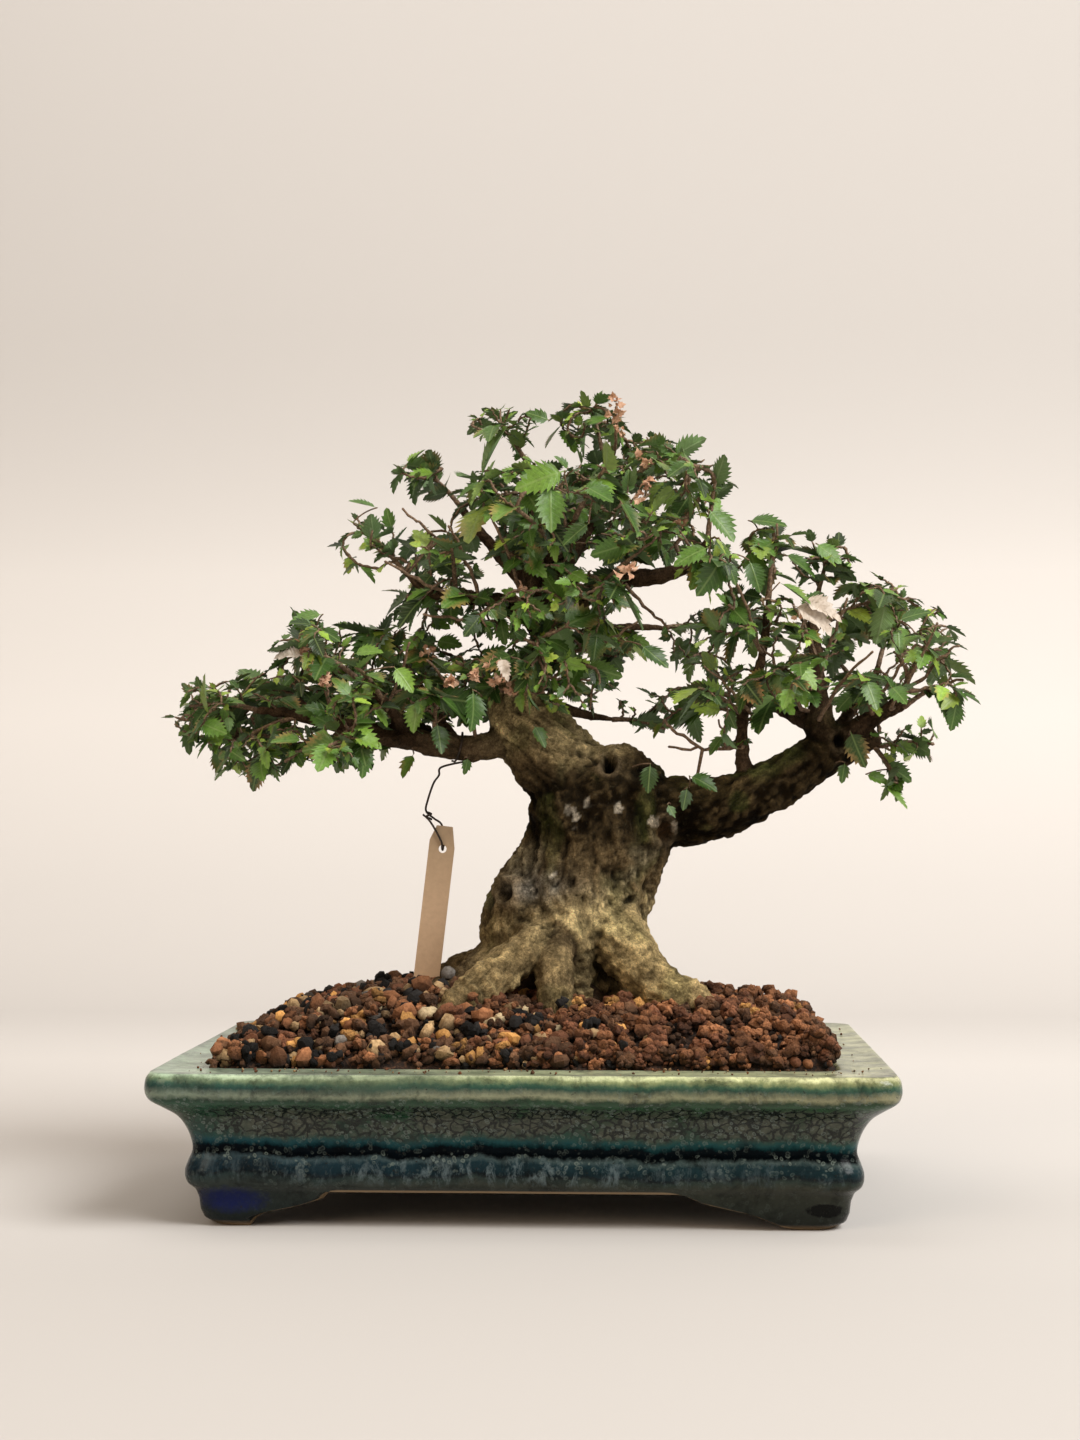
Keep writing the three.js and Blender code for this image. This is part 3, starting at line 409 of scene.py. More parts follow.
def product(tree, first, *others):
    """Sockets or numbers multiplied together, one after the other."""
    for other in others:
        first = maths(tree, "MULTIPLY", first, other)
    return first


def centred(tree, wave):
    """A noise moved down by a half, so that it swings about nothing."""
    return maths(tree, "SUBTRACT", wave, 0.5)


def noise(tree, place, scale, detail, roughness, distortion=0.0, stretch=(1, 1, 1)):
    """Fractal noise in metres, drawn out along an axis where its stretch is under 1."""
    spot = add_node(tree, "Mapping", {"Vector": place, "Scale": stretch}).outputs["Vector"]
    return add_node(tree, "TexNoise", {
        "Vector": spot, "Scale": scale, "Detail": detail, "Roughness": roughness,
        "Distortion": distortion}).outputs["Fac"]


def attribute(tree, name, kind="Color"):
    """A value that the mesh carries for each of its points."""
    return add_node(tree, "Attribute", attribute_name=name).outputs[kind]


def blend(tree, factor, below, above, kind="MIX"):
    """A layer of colour over another, as far as the factor says. Several factors are multiplied."""
    if isinstance(factor, tuple):
        factor = product(tree, *factor)
    made = add_node(tree, "Mix", data_type="RGBA", blend_type=kind)
    for socket, value in ((made.inputs[0], factor), (made.inputs[6], below), (made.inputs[7], above)):
        if isinstance(value, bpy.types.NodeSocket):
            tree.links.new(value, socket)
        elif np.ndim(value):
            socket.default_value = (*value, 1)
        else:
            socket.default_value = value
    return made.outputs[2]


def relief(tree, shader, layers):
    """Small relief in the shader, finest last: each layer is a height, a strength and a depth in metres."""
    normal = None
    for height, strength, depth in layers:
        values = {"Height": height, "Strength": strength, "Distance": depth}
        if normal:
            values["Normal"] = normal
        normal = add_node(tree, "Bump", values).outputs["Normal"]
    tree.links.new(normal, shader.inputs["Normal"])


def glaze_material():
    """Copper glaze in bands by height, each band's edge shifted by noise where the glaze ran: a painted
    yellow-green highlight on the lip's edge, broken by noise, teal on the lip, grey-green with crackle in the
    cove, navy at its foot, slate-blue with pale drips on the belly, and bare tan clay along the lowest edge."""
    made, tree, shader, place = new_material("copper_glaze", Roughness=0.2)
    shader.inputs["Coat Roughness"].default_value = 0.06
    axis = add_node(tree, "SeparateXYZ", {"Vector": place}).outputs
    run = noise(tree, place, 42, 5, 0.6, stretch=(1, 1, 0.45))
    wide = noise(tree, place, 9, 3, 0.5)
    ragged = noise(tree, place, 260, 4, 0.7)
    freely = ramp(tree, axis["Z"], [[0.056, 1.0], [0.066, 0.5]])
    height = product(tree, centred(tree, run), 0.010, freely)
    height = maths(tree, "ADD", height, axis["Z"])
    height = maths(tree, "MULTIPLY_ADD", centred(tree, wide), 0.006, height)
    height = maths(tree, "MULTIPLY_ADD", centred(tree, ragged), 0.0042, height)
    level = maths(tree, "DIVIDE", height, GLAZE_TOP)
    # The bands from 0.95 to 1.0 are a painted highlight along the lip's rounded top edge.
    bands = ramp(tree, level, [
        [0.0, (0.010, 0.011, 0.010)], [0.12, (0.013, 0.015, 0.013)], [0.21, (0.022, 0.024, 0.020)],
        [0.27, (0.032, 0.033, 0.027)], [0.315, (0.018, 0.026, 0.024)], [0.335, (0.004, 0.007, 0.009)],
        [0.352, (0.004, 0.012, 0.017)], [0.405, (0.007, 0.021, 0.029)], [0.43, (0.040, 0.060, 0.066)],
        [0.455, (0.0, 0.001, 0.002)], [0.50, (0.001, 0.003, 0.005)], [0.535, (0.002, 0.040, 0.048)],
        [0.575, (0.006, 0.042, 0.032)], [0.70, (0.012, 0.038, 0.017)], [0.79, (0.018, 0.062, 0.028)],
        [0.82, (0.018, 0.040, 0.020)], [0.85, (0.21, 0.205, 0.135)], [0.875, (0.105, 0.110, 0.075)],
        [0.90, (0.016, 0.046, 0.036)], [0.92, (0.036, 0.078, 0.052)], [0.95, (0.20, 0.22, 0.115)],
        [0.975, (0.58, 0.59, 0.37)], [1.0, (0.16, 0.165, 0.12)],
    ])
    rightward = maths(tree, "MULTIPLY_ADD", axis["X"], 2.4, 0.55)
    side = ramp(tree, rightward, [
        [0.0, (0.62, 0.92, 1.12)], [0.4, (0.88, 1.0, 1.0)], [0.7, (1.0, 1.08, 0.95)],
        [1.0, (1.15, 1.12, 0.98)]])
    colour = blend(tree, 0.85, bands, side, "MULTIPLY")
    grimy = noise(tree, place, 50, 6, 0.75, 0.5)
    colour = blend(tree, 1.0, colour, ramp(tree, grimy, [[0.36, 0.42], [0.5, 1.0], [0.64, 1.2]]), "MULTIPLY")
    # Gaps of dark green, laid by noise, break up the painted highlight on the lip.
    highlight_breaks = noise(tree, place, 36, 5, 0.65, 0.6, stretch=(0.4, 1, 1))
    lip = ramp(tree, level, [[0.84, 0.0], [0.9, 1.0]])
    thin = ramp(tree, highlight_breaks, [[0.48, 0.0], [0.64, 0.62]])
    colour = blend(tree, (lip, thin), colour, (0.050, 0.078, 0.052))
    dull = ramp(tree, noise(tree, place, 34, 4, 0.6), [[0.36, 0.0], [0.5, 1.0]])
    cove = ramp(tree, level, [[0.55, 0.0], [0.60, 1.0], [0.75, 1.0], [0.80, 0.0]])
    scaly = product(tree, cove, dull, ramp(tree, rightward, [[0.11, 0.1], [0.18, 1.0]]))
    grey = ramp(tree, ragged, [[0.35, (0.036, 0.042, 0.031)], [0.65, (0.092, 0.096, 0.072)]])
    colour = blend(tree, (scaly, 0.85), colour, grey)
    cells = add_node(tree, "TexVoronoi", {
        "Vector": noise_shift(tree, place, 110, 0.009), "Scale": 200.0}, feature="DISTANCE_TO_EDGE")
    crackle = ramp(tree, cells.outputs["Distance"], [[0.0, 1.0], [0.07, 0.8], [0.15, 0.0]])
    crazed = ramp(tree, maths(tree, "ADD", scaly, product(tree, cove, 0.35)), [[0.1, 0.0], [0.8, 1.0]])
    web = product(tree, crackle, crazed)
    colour = blend(tree, (web, 0.95), colour, (0.002, 0.004, 0.003))
    rings = add_node(tree, "TexVoronoi", {"Vector": noise_shift(tree, place, 160, 0.004), "Scale": 330.0})
    bubble = ramp(tree, rings.outputs["Distance"], [
        [0.12, 0.25], [0.2, 0.4], [0.27, 1.0], [0.32, 0.9], [0.4, 0.0]])
    spots = ramp(tree, noise(tree, place, 75, 3, 0.6), [[0.43, 0.0], [0.56, 1.0]])
    frothy = ramp(tree, level, [
        [0.22, 0.1], [0.39, 0.4], [0.42, 1.0], [0.455, 1.0], [0.475, 0.3], [0.52, 0.3], [0.6, 0.8],
        [0.8, 0.8], [0.94, 0.0]])
    colour = blend(tree, (bubble, spots, frothy, 0.7), colour, (0.15, 0.19, 0.17))
    drips = ramp(tree, noise(tree, place, 150, 5, 0.75, 0.4, stretch=(1, 1, 0.4)), [[0.5, 0.0], [0.66, 1.0]])
    belly = ramp(tree, level, [[0.26, 0.0], [0.32, 1.0], [0.43, 1.0], [0.455, 0.0]])
    off_middle = maths(tree, "ABSOLUTE", maths(tree, "ADD", axis["X"], 0.035))
    middle = ramp(tree, off_middle, [[0.0, 1.0], [0.05, 0.8], [0.12, 0.3]])
    colour = blend(tree, (drips, belly, middle, 0.6), colour, (0.15, 0.20, 0.215))
    front = ramp(tree, product(tree, axis["Y"], -1.0), [[0.09, 0.0], [0.1, 1.0]])
    for spot_x, spot_z, half_x, half_z, full, faded, stain in STAINS:
        dx = maths(tree, "DIVIDE", maths(tree, "SUBTRACT", axis["X"], spot_x + POT_MIDDLE[0]), half_x)
        dz = maths(tree, "DIVIDE", maths(tree, "SUBTRACT", axis["Z"], spot_z), half_z)
        away = maths(tree, "ADD", product(tree, dx, dx), product(tree, dz, dz))
        away = maths(tree, "MULTIPLY_ADD", centred(tree, ragged), 1.6, away)
        stained = ramp(tree, product(tree, away, 0.5), [[full / 2, 1.0], [faded / 2, 0.0]])
        colour = blend(tree, (stained, front, 0.9), colour, stain)
    top = ramp(tree, axis["Z"], [[0.0790, 0.0], [0.0797, 1.0]])
    normal = add_node(tree, "NewGeometry").outputs["Normal"]
    upward = add_node(tree, "SeparateXYZ", {"Vector": normal}).outputs["Z"]
    rim = product(tree, top, ramp(tree, upward, [[0.75, 0.0], [0.97, 1.0]]))
    dust = ramp(tree, noise(tree, place, 70, 6, 0.65), [
        [0.3, (0.032, 0.042, 0.040)], [0.5, (0.100, 0.112, 0.104)], [0.7, (0.205, 0.203, 0.200)]])
    colour = blend(tree, rim, colour, dust)
    specks = ramp(tree, noise(tree, place, 620, 2, 0.5), [[0.69, 0.0], [0.74, 1.0]])
    colour = blend(tree, (specks, 0.8), colour, (0.015, 0.014, 0.012))
    foot = ramp(tree, maths(tree, "ADD", axis["Z"], product(tree, run, 0.0012)),
                [[0.0012, 1.0], [0.0024, 0.0]])
    colour = blend(tree, foot, colour, (0.26, 0.175, 0.10))
    bare = ramp(tree, attribute(tree, "edge_height", "Fac"), [[0.0, 1.0], [0.045, 1.0], [0.075, 0.0]])
    colour = blend(tree, (bare, 0.8), colour, (0.27, 0.19, 0.11))
    tree.links.new(colour, shader.inputs["Base Color"])
    shine = ramp(tree, level, [
        [0.18, 0.08], [0.34, 0.10], [0.44, 0.11], [0.46, 0.03], [0.51, 0.03], [0.55, 0.22]])
    tree.links.new(shine, shader.inputs["Specular IOR Level"])
    tree.links.new(product(tree, shine, 0.55), shader.inputs["Coat Weight"])
    matt = ramp(tree, noise(tree, place, 90, 5, 0.6), [[0.3, 0.13], [0.7, 0.34]])
    matt = blend(tree, rim, matt, (0.5, 0.5, 0.5))
    matt = blend(tree, foot, matt, (0.85, 0.85, 0.85))
    tree.links.new(matt, shader.inputs["Roughness"])
    relief(tree, shader, [
        [noise(tree, place, 30, 4, 0.6), 0.35, 0.002], [noise(tree, place, 190, 4, 0.6), 0.3, 0.0006],
        [maths(tree, "ADD", web, bubble), 0.25, 0.0003]])
    return made


def noise_shift(tree, place, scale, reach):
    """Object coordinates pushed about by noise, so that cells drawn on them lose their straight edges."""
    values = {"Vector": place, "Scale": scale, "Detail": 3.0}
    push = add_node(tree, "TexNoise", values).outputs["Color"]
    push = add_node(tree, "VectorMath", {0: push, 1: (0.5, 0.5, 0.5)}, operation="SUBTRACT").outputs[0]
    made = add_node(tree, "VectorMath", {0: push, 3: reach}, operation="SCALE").outputs[0]
    return add_node(tree, "VectorMath", {0: place, 1: made}, operation="ADD").outputs[0]


def glaze_flow(points):
    """How far the fired glaze stands off the mould's shape: broad waves and small pooled lumps, in mm."""
    outside = np.clip((np.abs(points[:, :2]) - (POT_HALF - 27)).max(1) / 4, 0, 1)
    return outside * (0.22 * cloud(points, 34, 1) + 0.12 * cloud(points, 9, 2) + 0.05 * cloud(points, 3, 3))


pot_points, pot_faces, pot_caps = pot_surface()
away = pot_points[:, :2] / np.maximum(np.linalg.norm(pot_points[:, :2], axis=1), 1)[:, None]
pot_points[:, :2] += away * glaze_flow(pot_points)[:, None]
over_edge = np.clip((pot_points[:, 2] - underside(pot_points)) / 20, 0, 1)
glazed_pot = make_piece("glazed_pot", in_row(pot_points), [pot_faces, pot_caps], [glaze_material()],
                        attributes={"edge_height": over_edge})
drained(glazed_pot)
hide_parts("pot")
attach(glazed_pot, "root")

# Drain screens: two squares of black plastic mesh, cut with scissors and laid over the drain holes
# inside the pot, where the soil holds them down.


def grained_material(name, grain, stops, depth, bumps=None, **shader_values):
    """A plain skin whose colour runs with one noise, given as its scale, detail and roughness. The relief is
    a strength and a depth in metres, over the same noise or over one of its own."""
    made, tree, shader, place = new_material(name, **shader_values)
    shade = noise(tree, place, *grain)
    tree.links.new(ramp(tree, shade, stops), shader.inputs["Base Color"])
    relief(tree, shader, [[noise(tree, place, *bumps) if bumps else shade, *depth]])
    return made


screen_net = grained_material(
    "black_net", (300, 4, 0.6), [[0.35, (0.012, 0.012, 0.012)], [0.7, (0.05, 0.04, 0.03)]],
    (0.3, 0.0002), (900, 3, 0.5), Roughness=0.6)
for node in ("drain_screen_left", "drain_screen_right"):
    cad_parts[node].data.materials.clear()
    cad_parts[node].data.materials.append(screen_net)

# Soil: a bed of fine grit, painted dark as the shade between the grains, that mounds up to the trunk, with
# loose grains lying on it, river pebbles of many colours to the left and red lava crumbs to the right.
SOIL_WALL = 30.3
SOIL_FLOOR = 28.3
MOUND_RUN = 70
MOUND_RISE = 19
MOUND_CREST = 9
EDGE_HEIGHT = 83.5
EDGE_LIFTS = (0, 3)
BED_SINK = 1.6
EDGE_SINK = 77.6
EDGE_RUN = 5
EDGE_GRAINS = 79.6
TRUNK_FOOT = (14, 0)
TRUNK_HALF = (40, 33)
RIM_RUN = 2200
RIM_BAND = 6.5
FACET_ANGLE = 0.45
STONE_SEED = 12
STONE_LIFT = 2.5
SIGHT_DEPTHS = (-110, 60, 341)


def soil_height(x, y):
    """Height of the finished surface: it climbs in a parabola from the pot's opening, with a crest left of
    the middle and a lift towards both ends, and small crumbs all over."""
    half = POT_HALF - RIM_WIDTH
    inward = np.clip(np.minimum(half[0] - np.abs(x), half[1] - np.abs(y)), 0, MOUND_RUN)
    rise = 1 - (1 - inward / MOUND_RUN) ** 2
    crest = MOUND_CREST * np.exp(-(((x + 50) / 45) ** 2))
    ends = [np.clip((side * x - 90) / (half[0] - 90), 0, 1) for side in (-1, 1)]
    lift = sum(most * t * t * (3 - 2 * t) for most, t in zip(EDGE_LIFTS, ends))
    crumb = 2 * np.sin(0.47 * x + 3 * np.sin(0.31 * y)) * np.cos(0.53 * y + 3 * np.sin(0.37 * x))
    return EDGE_HEIGHT + lift + (MOUND_RISE + crest) * rise + crumb


def bed_height(x, y):
    """Height of the grit that the grains lie on: a little under the surface, and down inside the pot's rim
    along its wall."""
    half = POT_HALF - SOIL_WALL
    inward = np.minimum(half[0] - np.abs(x), half[1] - np.abs(y))
    level = soil_height(x, y) - BED_SINK
    return level + (EDGE_SINK - level) * np.clip(1 - inward / EDGE_RUN, 0, 1) ** 1.5


def bed_surface():
    """Rings from the middle of the mound out to the pot's wall, down the wall and in over the floor."""
    plan = ring_plan((60, 44), 4)
    insets = np.concatenate([np.linspace(112, 40, 24), [36, 33, 31, SOIL_WALL, SOIL_WALL, 60]])
    rings = np.empty((len(insets), len(plan[0]), 3))
    rings[..., :2] = ring_points(plan, insets)
    rings[..., 2] = bed_height(rings[..., 0], rings[..., 1])
    rings[-2:, :, 2] = SOIL_FLOOR
    rows, columns = rings.shape[:2]
    flat = rings.reshape(-1, 3)
    flat[:-2 * columns, 2] += 0.7 * cloud(flat[:-2 * columns], 3, 4)
    last = rows * columns
    poles = [[0, 0, bed_height(0, 0)], [0, 0, SOIL_FLOOR]]
    caps = [fan_faces(last, 0, columns, False), fan_faces(last + 1, last - columns, columns, True)]
    return np.vstack([flat, poles]), grid_faces(rows, columns)[:, ::-1], np.vstack(caps)[:, ::-1]


def unit(vectors):
    """The same directions with length 1."""
    return vectors / np.maximum(np.linalg.norm(vectors, axis=-1, keepdims=True), 1e-9)


def turned(random, count):
    """Turns in space drawn evenly, one 3 by 3 matrix each, from unit quaternions."""
    w, x, y, z = random.normal(size=(4, count)) + 1e-9
    w, x, y, z = np.array([w, x, y, z]) / np.sqrt(w * w + x * x + y * y + z * z)
    return np.stack([
        1 - 2 * (y * y + z * z), 2 * (x * y - w * z), 2 * (x * z + w * y),
        2 * (x * y + w * z), 1 - 2 * (x * x + z * z), 2 * (y * z - w * x),
        2 * (x * z - w * y), 2 * (y * z + w * x), 1 - 2 * (x * x + y * y)], -1).reshape(-1, 3, 3)


def grain_heap(random, centres, radii, squash, dent, rows, columns):
    """Small stones: a globe of rows by columns points whose every point is pushed in or out by chance up to
    dent, flattened by squash on two axes, turned freely and set at its centre."""
    tilt = np.linspace(0, np.pi, rows + 2)[1:-1]
    turn = np.arange(columns) / columns * 2 * np.pi
    globe = np.stack([np.outer(np.sin(tilt), np.cos(turn)), np.outer(np.sin(tilt), np.sin(turn)),
                      np.repeat(np.cos(tilt)[:, None], columns, 1)], -1).reshape(-1, 3)
    globe = np.vstack([globe, [[0, 0, 1], [0, 0, -1]]])
    count, size = len(centres), len(globe)
    pushed = 1 + dent * random.uniform(-1, 1, (count, size, 1))
    shape = random.uniform(*squash, (count, 1, 3))
    points = globe * pushed * shape * radii[:, None, None]
    points = points @ turned(random, count).transpose(0, 2, 1) + centres[:, None]
    first = np.arange(count)[:, None, None] * size
    quads = (grid_faces(rows, columns)[None, :, ::-1] + first).reshape(-1, 4)
    caps = np.vstack([fan_faces(size - 2, 0, columns, True),
                      fan_faces(size - 1, size - 2 - columns, columns, False)])
    return points.reshape(-1, 3), quads, (caps[None] + first).reshape(-1, 3), size


def scatter(random, gap, low, high):
    """Places on a lattice with this gap, each moved about by chance, and a row of them along the rim, inside
    the opening and off the trunk."""
    half = POT_HALF - RIM_WIDTH - 1.0
    x, y = np.meshgrid(np.arange(max(low, -half[0]), min(high, half[0]), gap),
                       np.arange(-half[1], half[1], gap))
    x = x.ravel() + random.uniform(-0.5, 0.5, x.size) * gap
    y = y.ravel() + random.uniform(-0.5, 0.5, y.size) * gap
    way = np.arange(0, 1, gap / RIM_RUN)
    edge = np.abs(way * 4 % 2 - 1)[:, None] * 2 - 1
    inward = half - RIM_BAND * random.uniform(size=(len(way), 1))
    side = np.where(np.arange(len(way))[:, None] % 4 < 3, [[1, 0]], [[0, 1]])
    sign = np.where(way < 0.5, -1.0, 1.0)[:, None]
    rim = np.where(side, edge * half, sign * inward)
    rim = rim[(rim[:, 0] > low) & (rim[:, 0] < high)]
    x, y = np.concatenate([x, rim[:, 0]]), np.concatenate([y, rim[:, 1]])
    off_trunk = (((x - TRUNK_FOOT[0]) / TRUNK_HALF[0]) ** 2
                 + ((y - TRUNK_FOOT[1]) / TRUNK_HALF[1]) ** 2 > 1)
    inside = (np.abs(x) < half[0]) & (np.abs(y) < half[1])
    return x[inside & off_trunk], y[inside & off_trunk]


def opaque(colours):
    """Colours with full alpha."""
    return np.hstack([colours, np.ones((len(colours), 1))])


def grain_material(name, dark, fine):
    """Stone that takes its colour from each grain, with darker pits and a dry, rough skin."""
    made, tree, shader, place = new_material(name, Roughness=0.85)
    shader.inputs["Specular IOR Level"].default_value = 0.25
    pits = ramp(tree, noise(tree, place, fine, 5, 0.7), [
        [0.3, dark], [0.55, (1, 1, 1)], [0.8, (1.3, 1.25, 1.15)]])
    colour = blend(tree, 1.0, attribute(tree, "grain_colour"), pits, "MULTIPLY")
    tree.links.new(colour, shader.inputs["Base Color"])
    relief(tree, shader, [[noise(tree, place, fine * 0.6, 5, 0.7), 1.0, 0.0019]])
    return made


def grains(name, seed, gap, low, high, sizes, squash, dent, palette, shares, lift, material, mesh,
           crumbs=1, fade=40):
    """One heap of loose grains: places, sizes and colours by chance, resting on the bed. Near its inner end
    the heap thins out, so that two heaps mix where they meet. A grain of several crumbs is a clump: a core
    with small ones set round it at two thirds of its radius."""
    random = np.random.default_rng(seed)
    x, y = scatter(random, gap, low, high)
    inner = low if abs(low) < abs(high) else high
    keep = random.uniform(size=len(x)) < np.clip(np.abs(x - inner) / fade, 0.12, 1)
    x, y = x[keep], y[keep]
    radii = sizes[0] + (sizes[1] - sizes[0]) * random.uniform(size=len(x)) ** 1.4
    ground = np.maximum(bed_height(x, y), EDGE_GRAINS)
    centres = np.stack([x, y, ground + lift * radii + random.uniform(0, 1.8, len(x))], -1)
    colours = np.array(palette)[random.choice(len(palette), len(x), p=np.array(shares) / np.sum(shares))]
    colours = colours * random.uniform(0.45, 1.6, (len(x), 1))
    if crumbs > 1:
        way = unit(random.normal(size=(len(x), crumbs, 3)) + [0, 0, 0.4])
        far = random.uniform(0.5, 0.85, (len(x), crumbs, 1))
        part = random.uniform(0.30, 0.55, (len(x), crumbs))
        far[:, 0], part[:, 0] = 0, random.uniform(0.65, 0.85, len(x))
        centres = (centres[:, None] + way * radii[:, None, None] * far).reshape(-1, 3)
        radii = (radii[:, None] * part).ravel()
        colours = np.repeat(colours, crumbs, 0) * random.uniform(0.8, 1.25, (len(radii), 1))
    points, quads, caps, size = grain_heap(random, centres, radii, squash, dent, *mesh)
    # Painted shade: each grain is darker the lower a point lies on it and lighter near its top, as if lit
    # from above.
    above = (points[:, 2] - np.repeat(centres[:, 2], size)) / np.repeat(radii, size)
    colours = np.repeat(opaque(colours), size, 0)
    colours[:, :3] *= np.clip(0.60 + 0.72 * above, 0.07, 1.3)[:, None]
    piece = make_piece(name, in_row(points), [quads, caps], [material],
                       attributes={"grain_colour": colours})
    piece.data.set_sharp_from_angle(angle=FACET_ANGLE)
    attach(piece, "root")


bed_points, bed_faces, bed_caps = bed_surface()
# The grit's dark brown is darkened further as painted shade, so that the bed between the grains reads as
# shaded gaps.
bed_soil = grained_material("fine_grit_painted_shade", (420, 6, 0.7), [
    [0.36, (0.005, 0.003, 0.002)], [0.5, (0.024, 0.012, 0.007)], [0.64, (0.11, 0.05, 0.025)]],
    (1.0, 0.002), Roughness=0.95)
soil_bed = make_piece("soil_bed", in_row(bed_points), [bed_faces, bed_caps], [bed_soil])
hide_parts("soil")
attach(soil_bed, "root")

OCHRE, TAN, CREAM = (0.52, 0.27, 0.085), (0.40, 0.27, 0.14), (0.62, 0.50, 0.31)
RUST, BRICK, UMBER = (0.26, 0.112, 0.050), (0.165, 0.068, 0.034), (0.115, 0.058, 0.030)
CHARCOAL, ASH = (0.017, 0.0155, 0.015), (0.17, 0.155, 0.14)
pebble_skin = grain_material("pebble_skin", (0.5, 0.45, 0.4), 520)
crumb_skin = grain_material("lava_skin", (0.15, 0.10, 0.08), 860)
grains("river_pebbles", 5, 7.8, -160, 55, (2.0, 5.4), (0.5, 1.4), 0.2,
       [OCHRE, TAN, UMBER, CHARCOAL, ASH, RUST, BRICK, CREAM], [7, 15, 32, 12, 6, 15, 12, 3],
       0.8, pebble_skin, (3, 7))
grains("broken_stone", 6, 10.0, -160, 60, (3.2, 6.0), (0.6, 1.35), 0.26,
       [OCHRE, UMBER, CHARCOAL, RUST, BRICK], [4, 44, 19, 19, 14], 0.7, crumb_skin, (3, 6), 5)
grains("fine_pebbles", 7, 6.2, -160, 70, (1.1, 2.5), (0.55, 1.4), 0.24,
       [TAN, UMBER, CHARCOAL, RUST, BRICK, CREAM], [8, 38, 28, 14, 10, 2], 0.6, crumb_skin, (2, 6))
grains("lava_clumps", 8, 10.2, -40, 160, (3.8, 7.0), (0.75, 1.25), 0.24,
       [RUST, BRICK, UMBER, OCHRE], [48, 30, 18, 3], 0.6, crumb_skin, (2, 6), 10)
grains("lava_crumbs", 9, 5.8, -40, 160, (1.1, 2.4), (0.7, 1.3), 0.26,
       [RUST, BRICK, UMBER, CHARCOAL, OCHRE, TAN], [38, 28, 18, 9, 4, 3], 0.7, crumb_skin, (2, 6))
# Stones that stand out: how far right of and below the view's centre line the front view shows each (in
# the plane through the pot's middle), its radius, how long it is drawn out, and its colour.
CHOSEN_STONES = [
    [-72, 79.6, 6.2, 1.2, OCHRE], [-50, 85, 5.4, 1.1, OCHRE], [-59, 97, 5.4, 1.5, CREAM],
    [-23, 91.4, 4.0, 1.4, CREAM], [-3.6, 99.2, 4.6, 1.2, CREAM], [-132, 80.7, 4.2, 1.1, OCHRE],
    [-134, 72.3, 4.4, 1.2, TAN], [-153, 88.6, 4.0, 1.2, CREAM], [-113, 98.7, 4.0, 1.5, CREAM],
    [-89, 101, 3.8, 1.4, CREAM], [-88, 108.8, 4.4, 1.9, TAN], [-75, 113.8, 4.0, 3.2, TAN],
    [-47.8, 120, 5.0, 1.1, ASH], [-121, 92, 4.6, 1.6, TAN], [-100, 90, 4.8, 1.7, RUST],
    [34, 86, 4.4, 1.2, TAN], [44, 79, 4.0, 1.1, OCHRE], [4, 84, 4.2, 1.2, TAN],
    [146, 71.5, 3.4, 1.0, BRICK], [153, 70.6, 3.0, 1.1, RUST], [139, 71, 3.2, 1.2, UMBER],
]
ON_ROOT = 160
random = np.random.default_rng(STONE_SEED)
seen = np.array([row[:2] for row in CHOSEN_STONES], float)
depth = np.linspace(*SIGHT_DEPTHS)
sight = on_sight(seen[:, :1], seen[:, 1:], depth)
under = sight[..., 2] < bed_height(sight[..., 0], depth) + STONE_LIFT
met = np.where(under.any(1), under.argmax(1), ON_ROOT)
row = np.arange(len(seen))
centres = sight[row, met]
radii = np.array([row[2] for row in CHOSEN_STONES])
stone_points, stone_quads, stone_caps, size = grain_heap(random, centres, radii, (0.7, 1.0), 0.10, 6, 10)
stone_points = stone_points.reshape(len(radii), size, 3) - centres[:, None]
stone_points[..., 0] *= np.array([row[3] for row in CHOSEN_STONES])[:, None]
stone_points = (stone_points + centres[:, None]).reshape(-1, 3)
stone_colours = np.repeat(opaque([row[4] for row in CHOSEN_STONES]), size, 0)
chosen_stones = make_piece("chosen_stones", in_row(stone_points), [stone_quads, stone_caps], [pebble_skin],
                           attributes={"grain_colour": stone_colours})
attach(chosen_stones, "root")
# Specks of grit that fell on the pot's rim, five in six of them on its front side.
SPECKS = 150
SPECK_REACH = (172, 118)
SPECK_RUN = 22
around = random.uniform(-1, 1, (SPECKS, 2))
front = np.arange(SPECKS) % 6 > 0
inward = RIM_WIDTH - 1.5 - SPECK_RUN * random.uniform(size=SPECKS) ** 1.8
speck_x = np.where(front, around[:, 0] * SPECK_REACH[0], np.sign(around[:, 0]) * (POT_HALF[0] - inward))
speck_y = np.where(front, inward - POT_HALF[1], around[:, 1] * SPECK_REACH[1])
speck_radii = 0.3 + 0.7 * random.uniform(size=SPECKS) ** 2
specks = np.column_stack([speck_x, speck_y, POT_TOP + 0.4 * speck_radii])
speck_points, speck_quads, speck_caps, size = grain_heap(random, specks, speck_radii, (0.6, 1.3), 0.2, 2, 5)
speck_colours = np.array([UMBER, RUST, BRICK, TAN])[random.integers(0, 4, SPECKS)]
speck_colours = np.repeat(opaque(speck_colours), size, 0)
rim_specks = make_piece("rim_specks", in_row(speck_points), [speck_quads, speck_caps], [crumb_skin],
                        attributes={"grain_colour": speck_colours})
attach(rim_specks, "root")

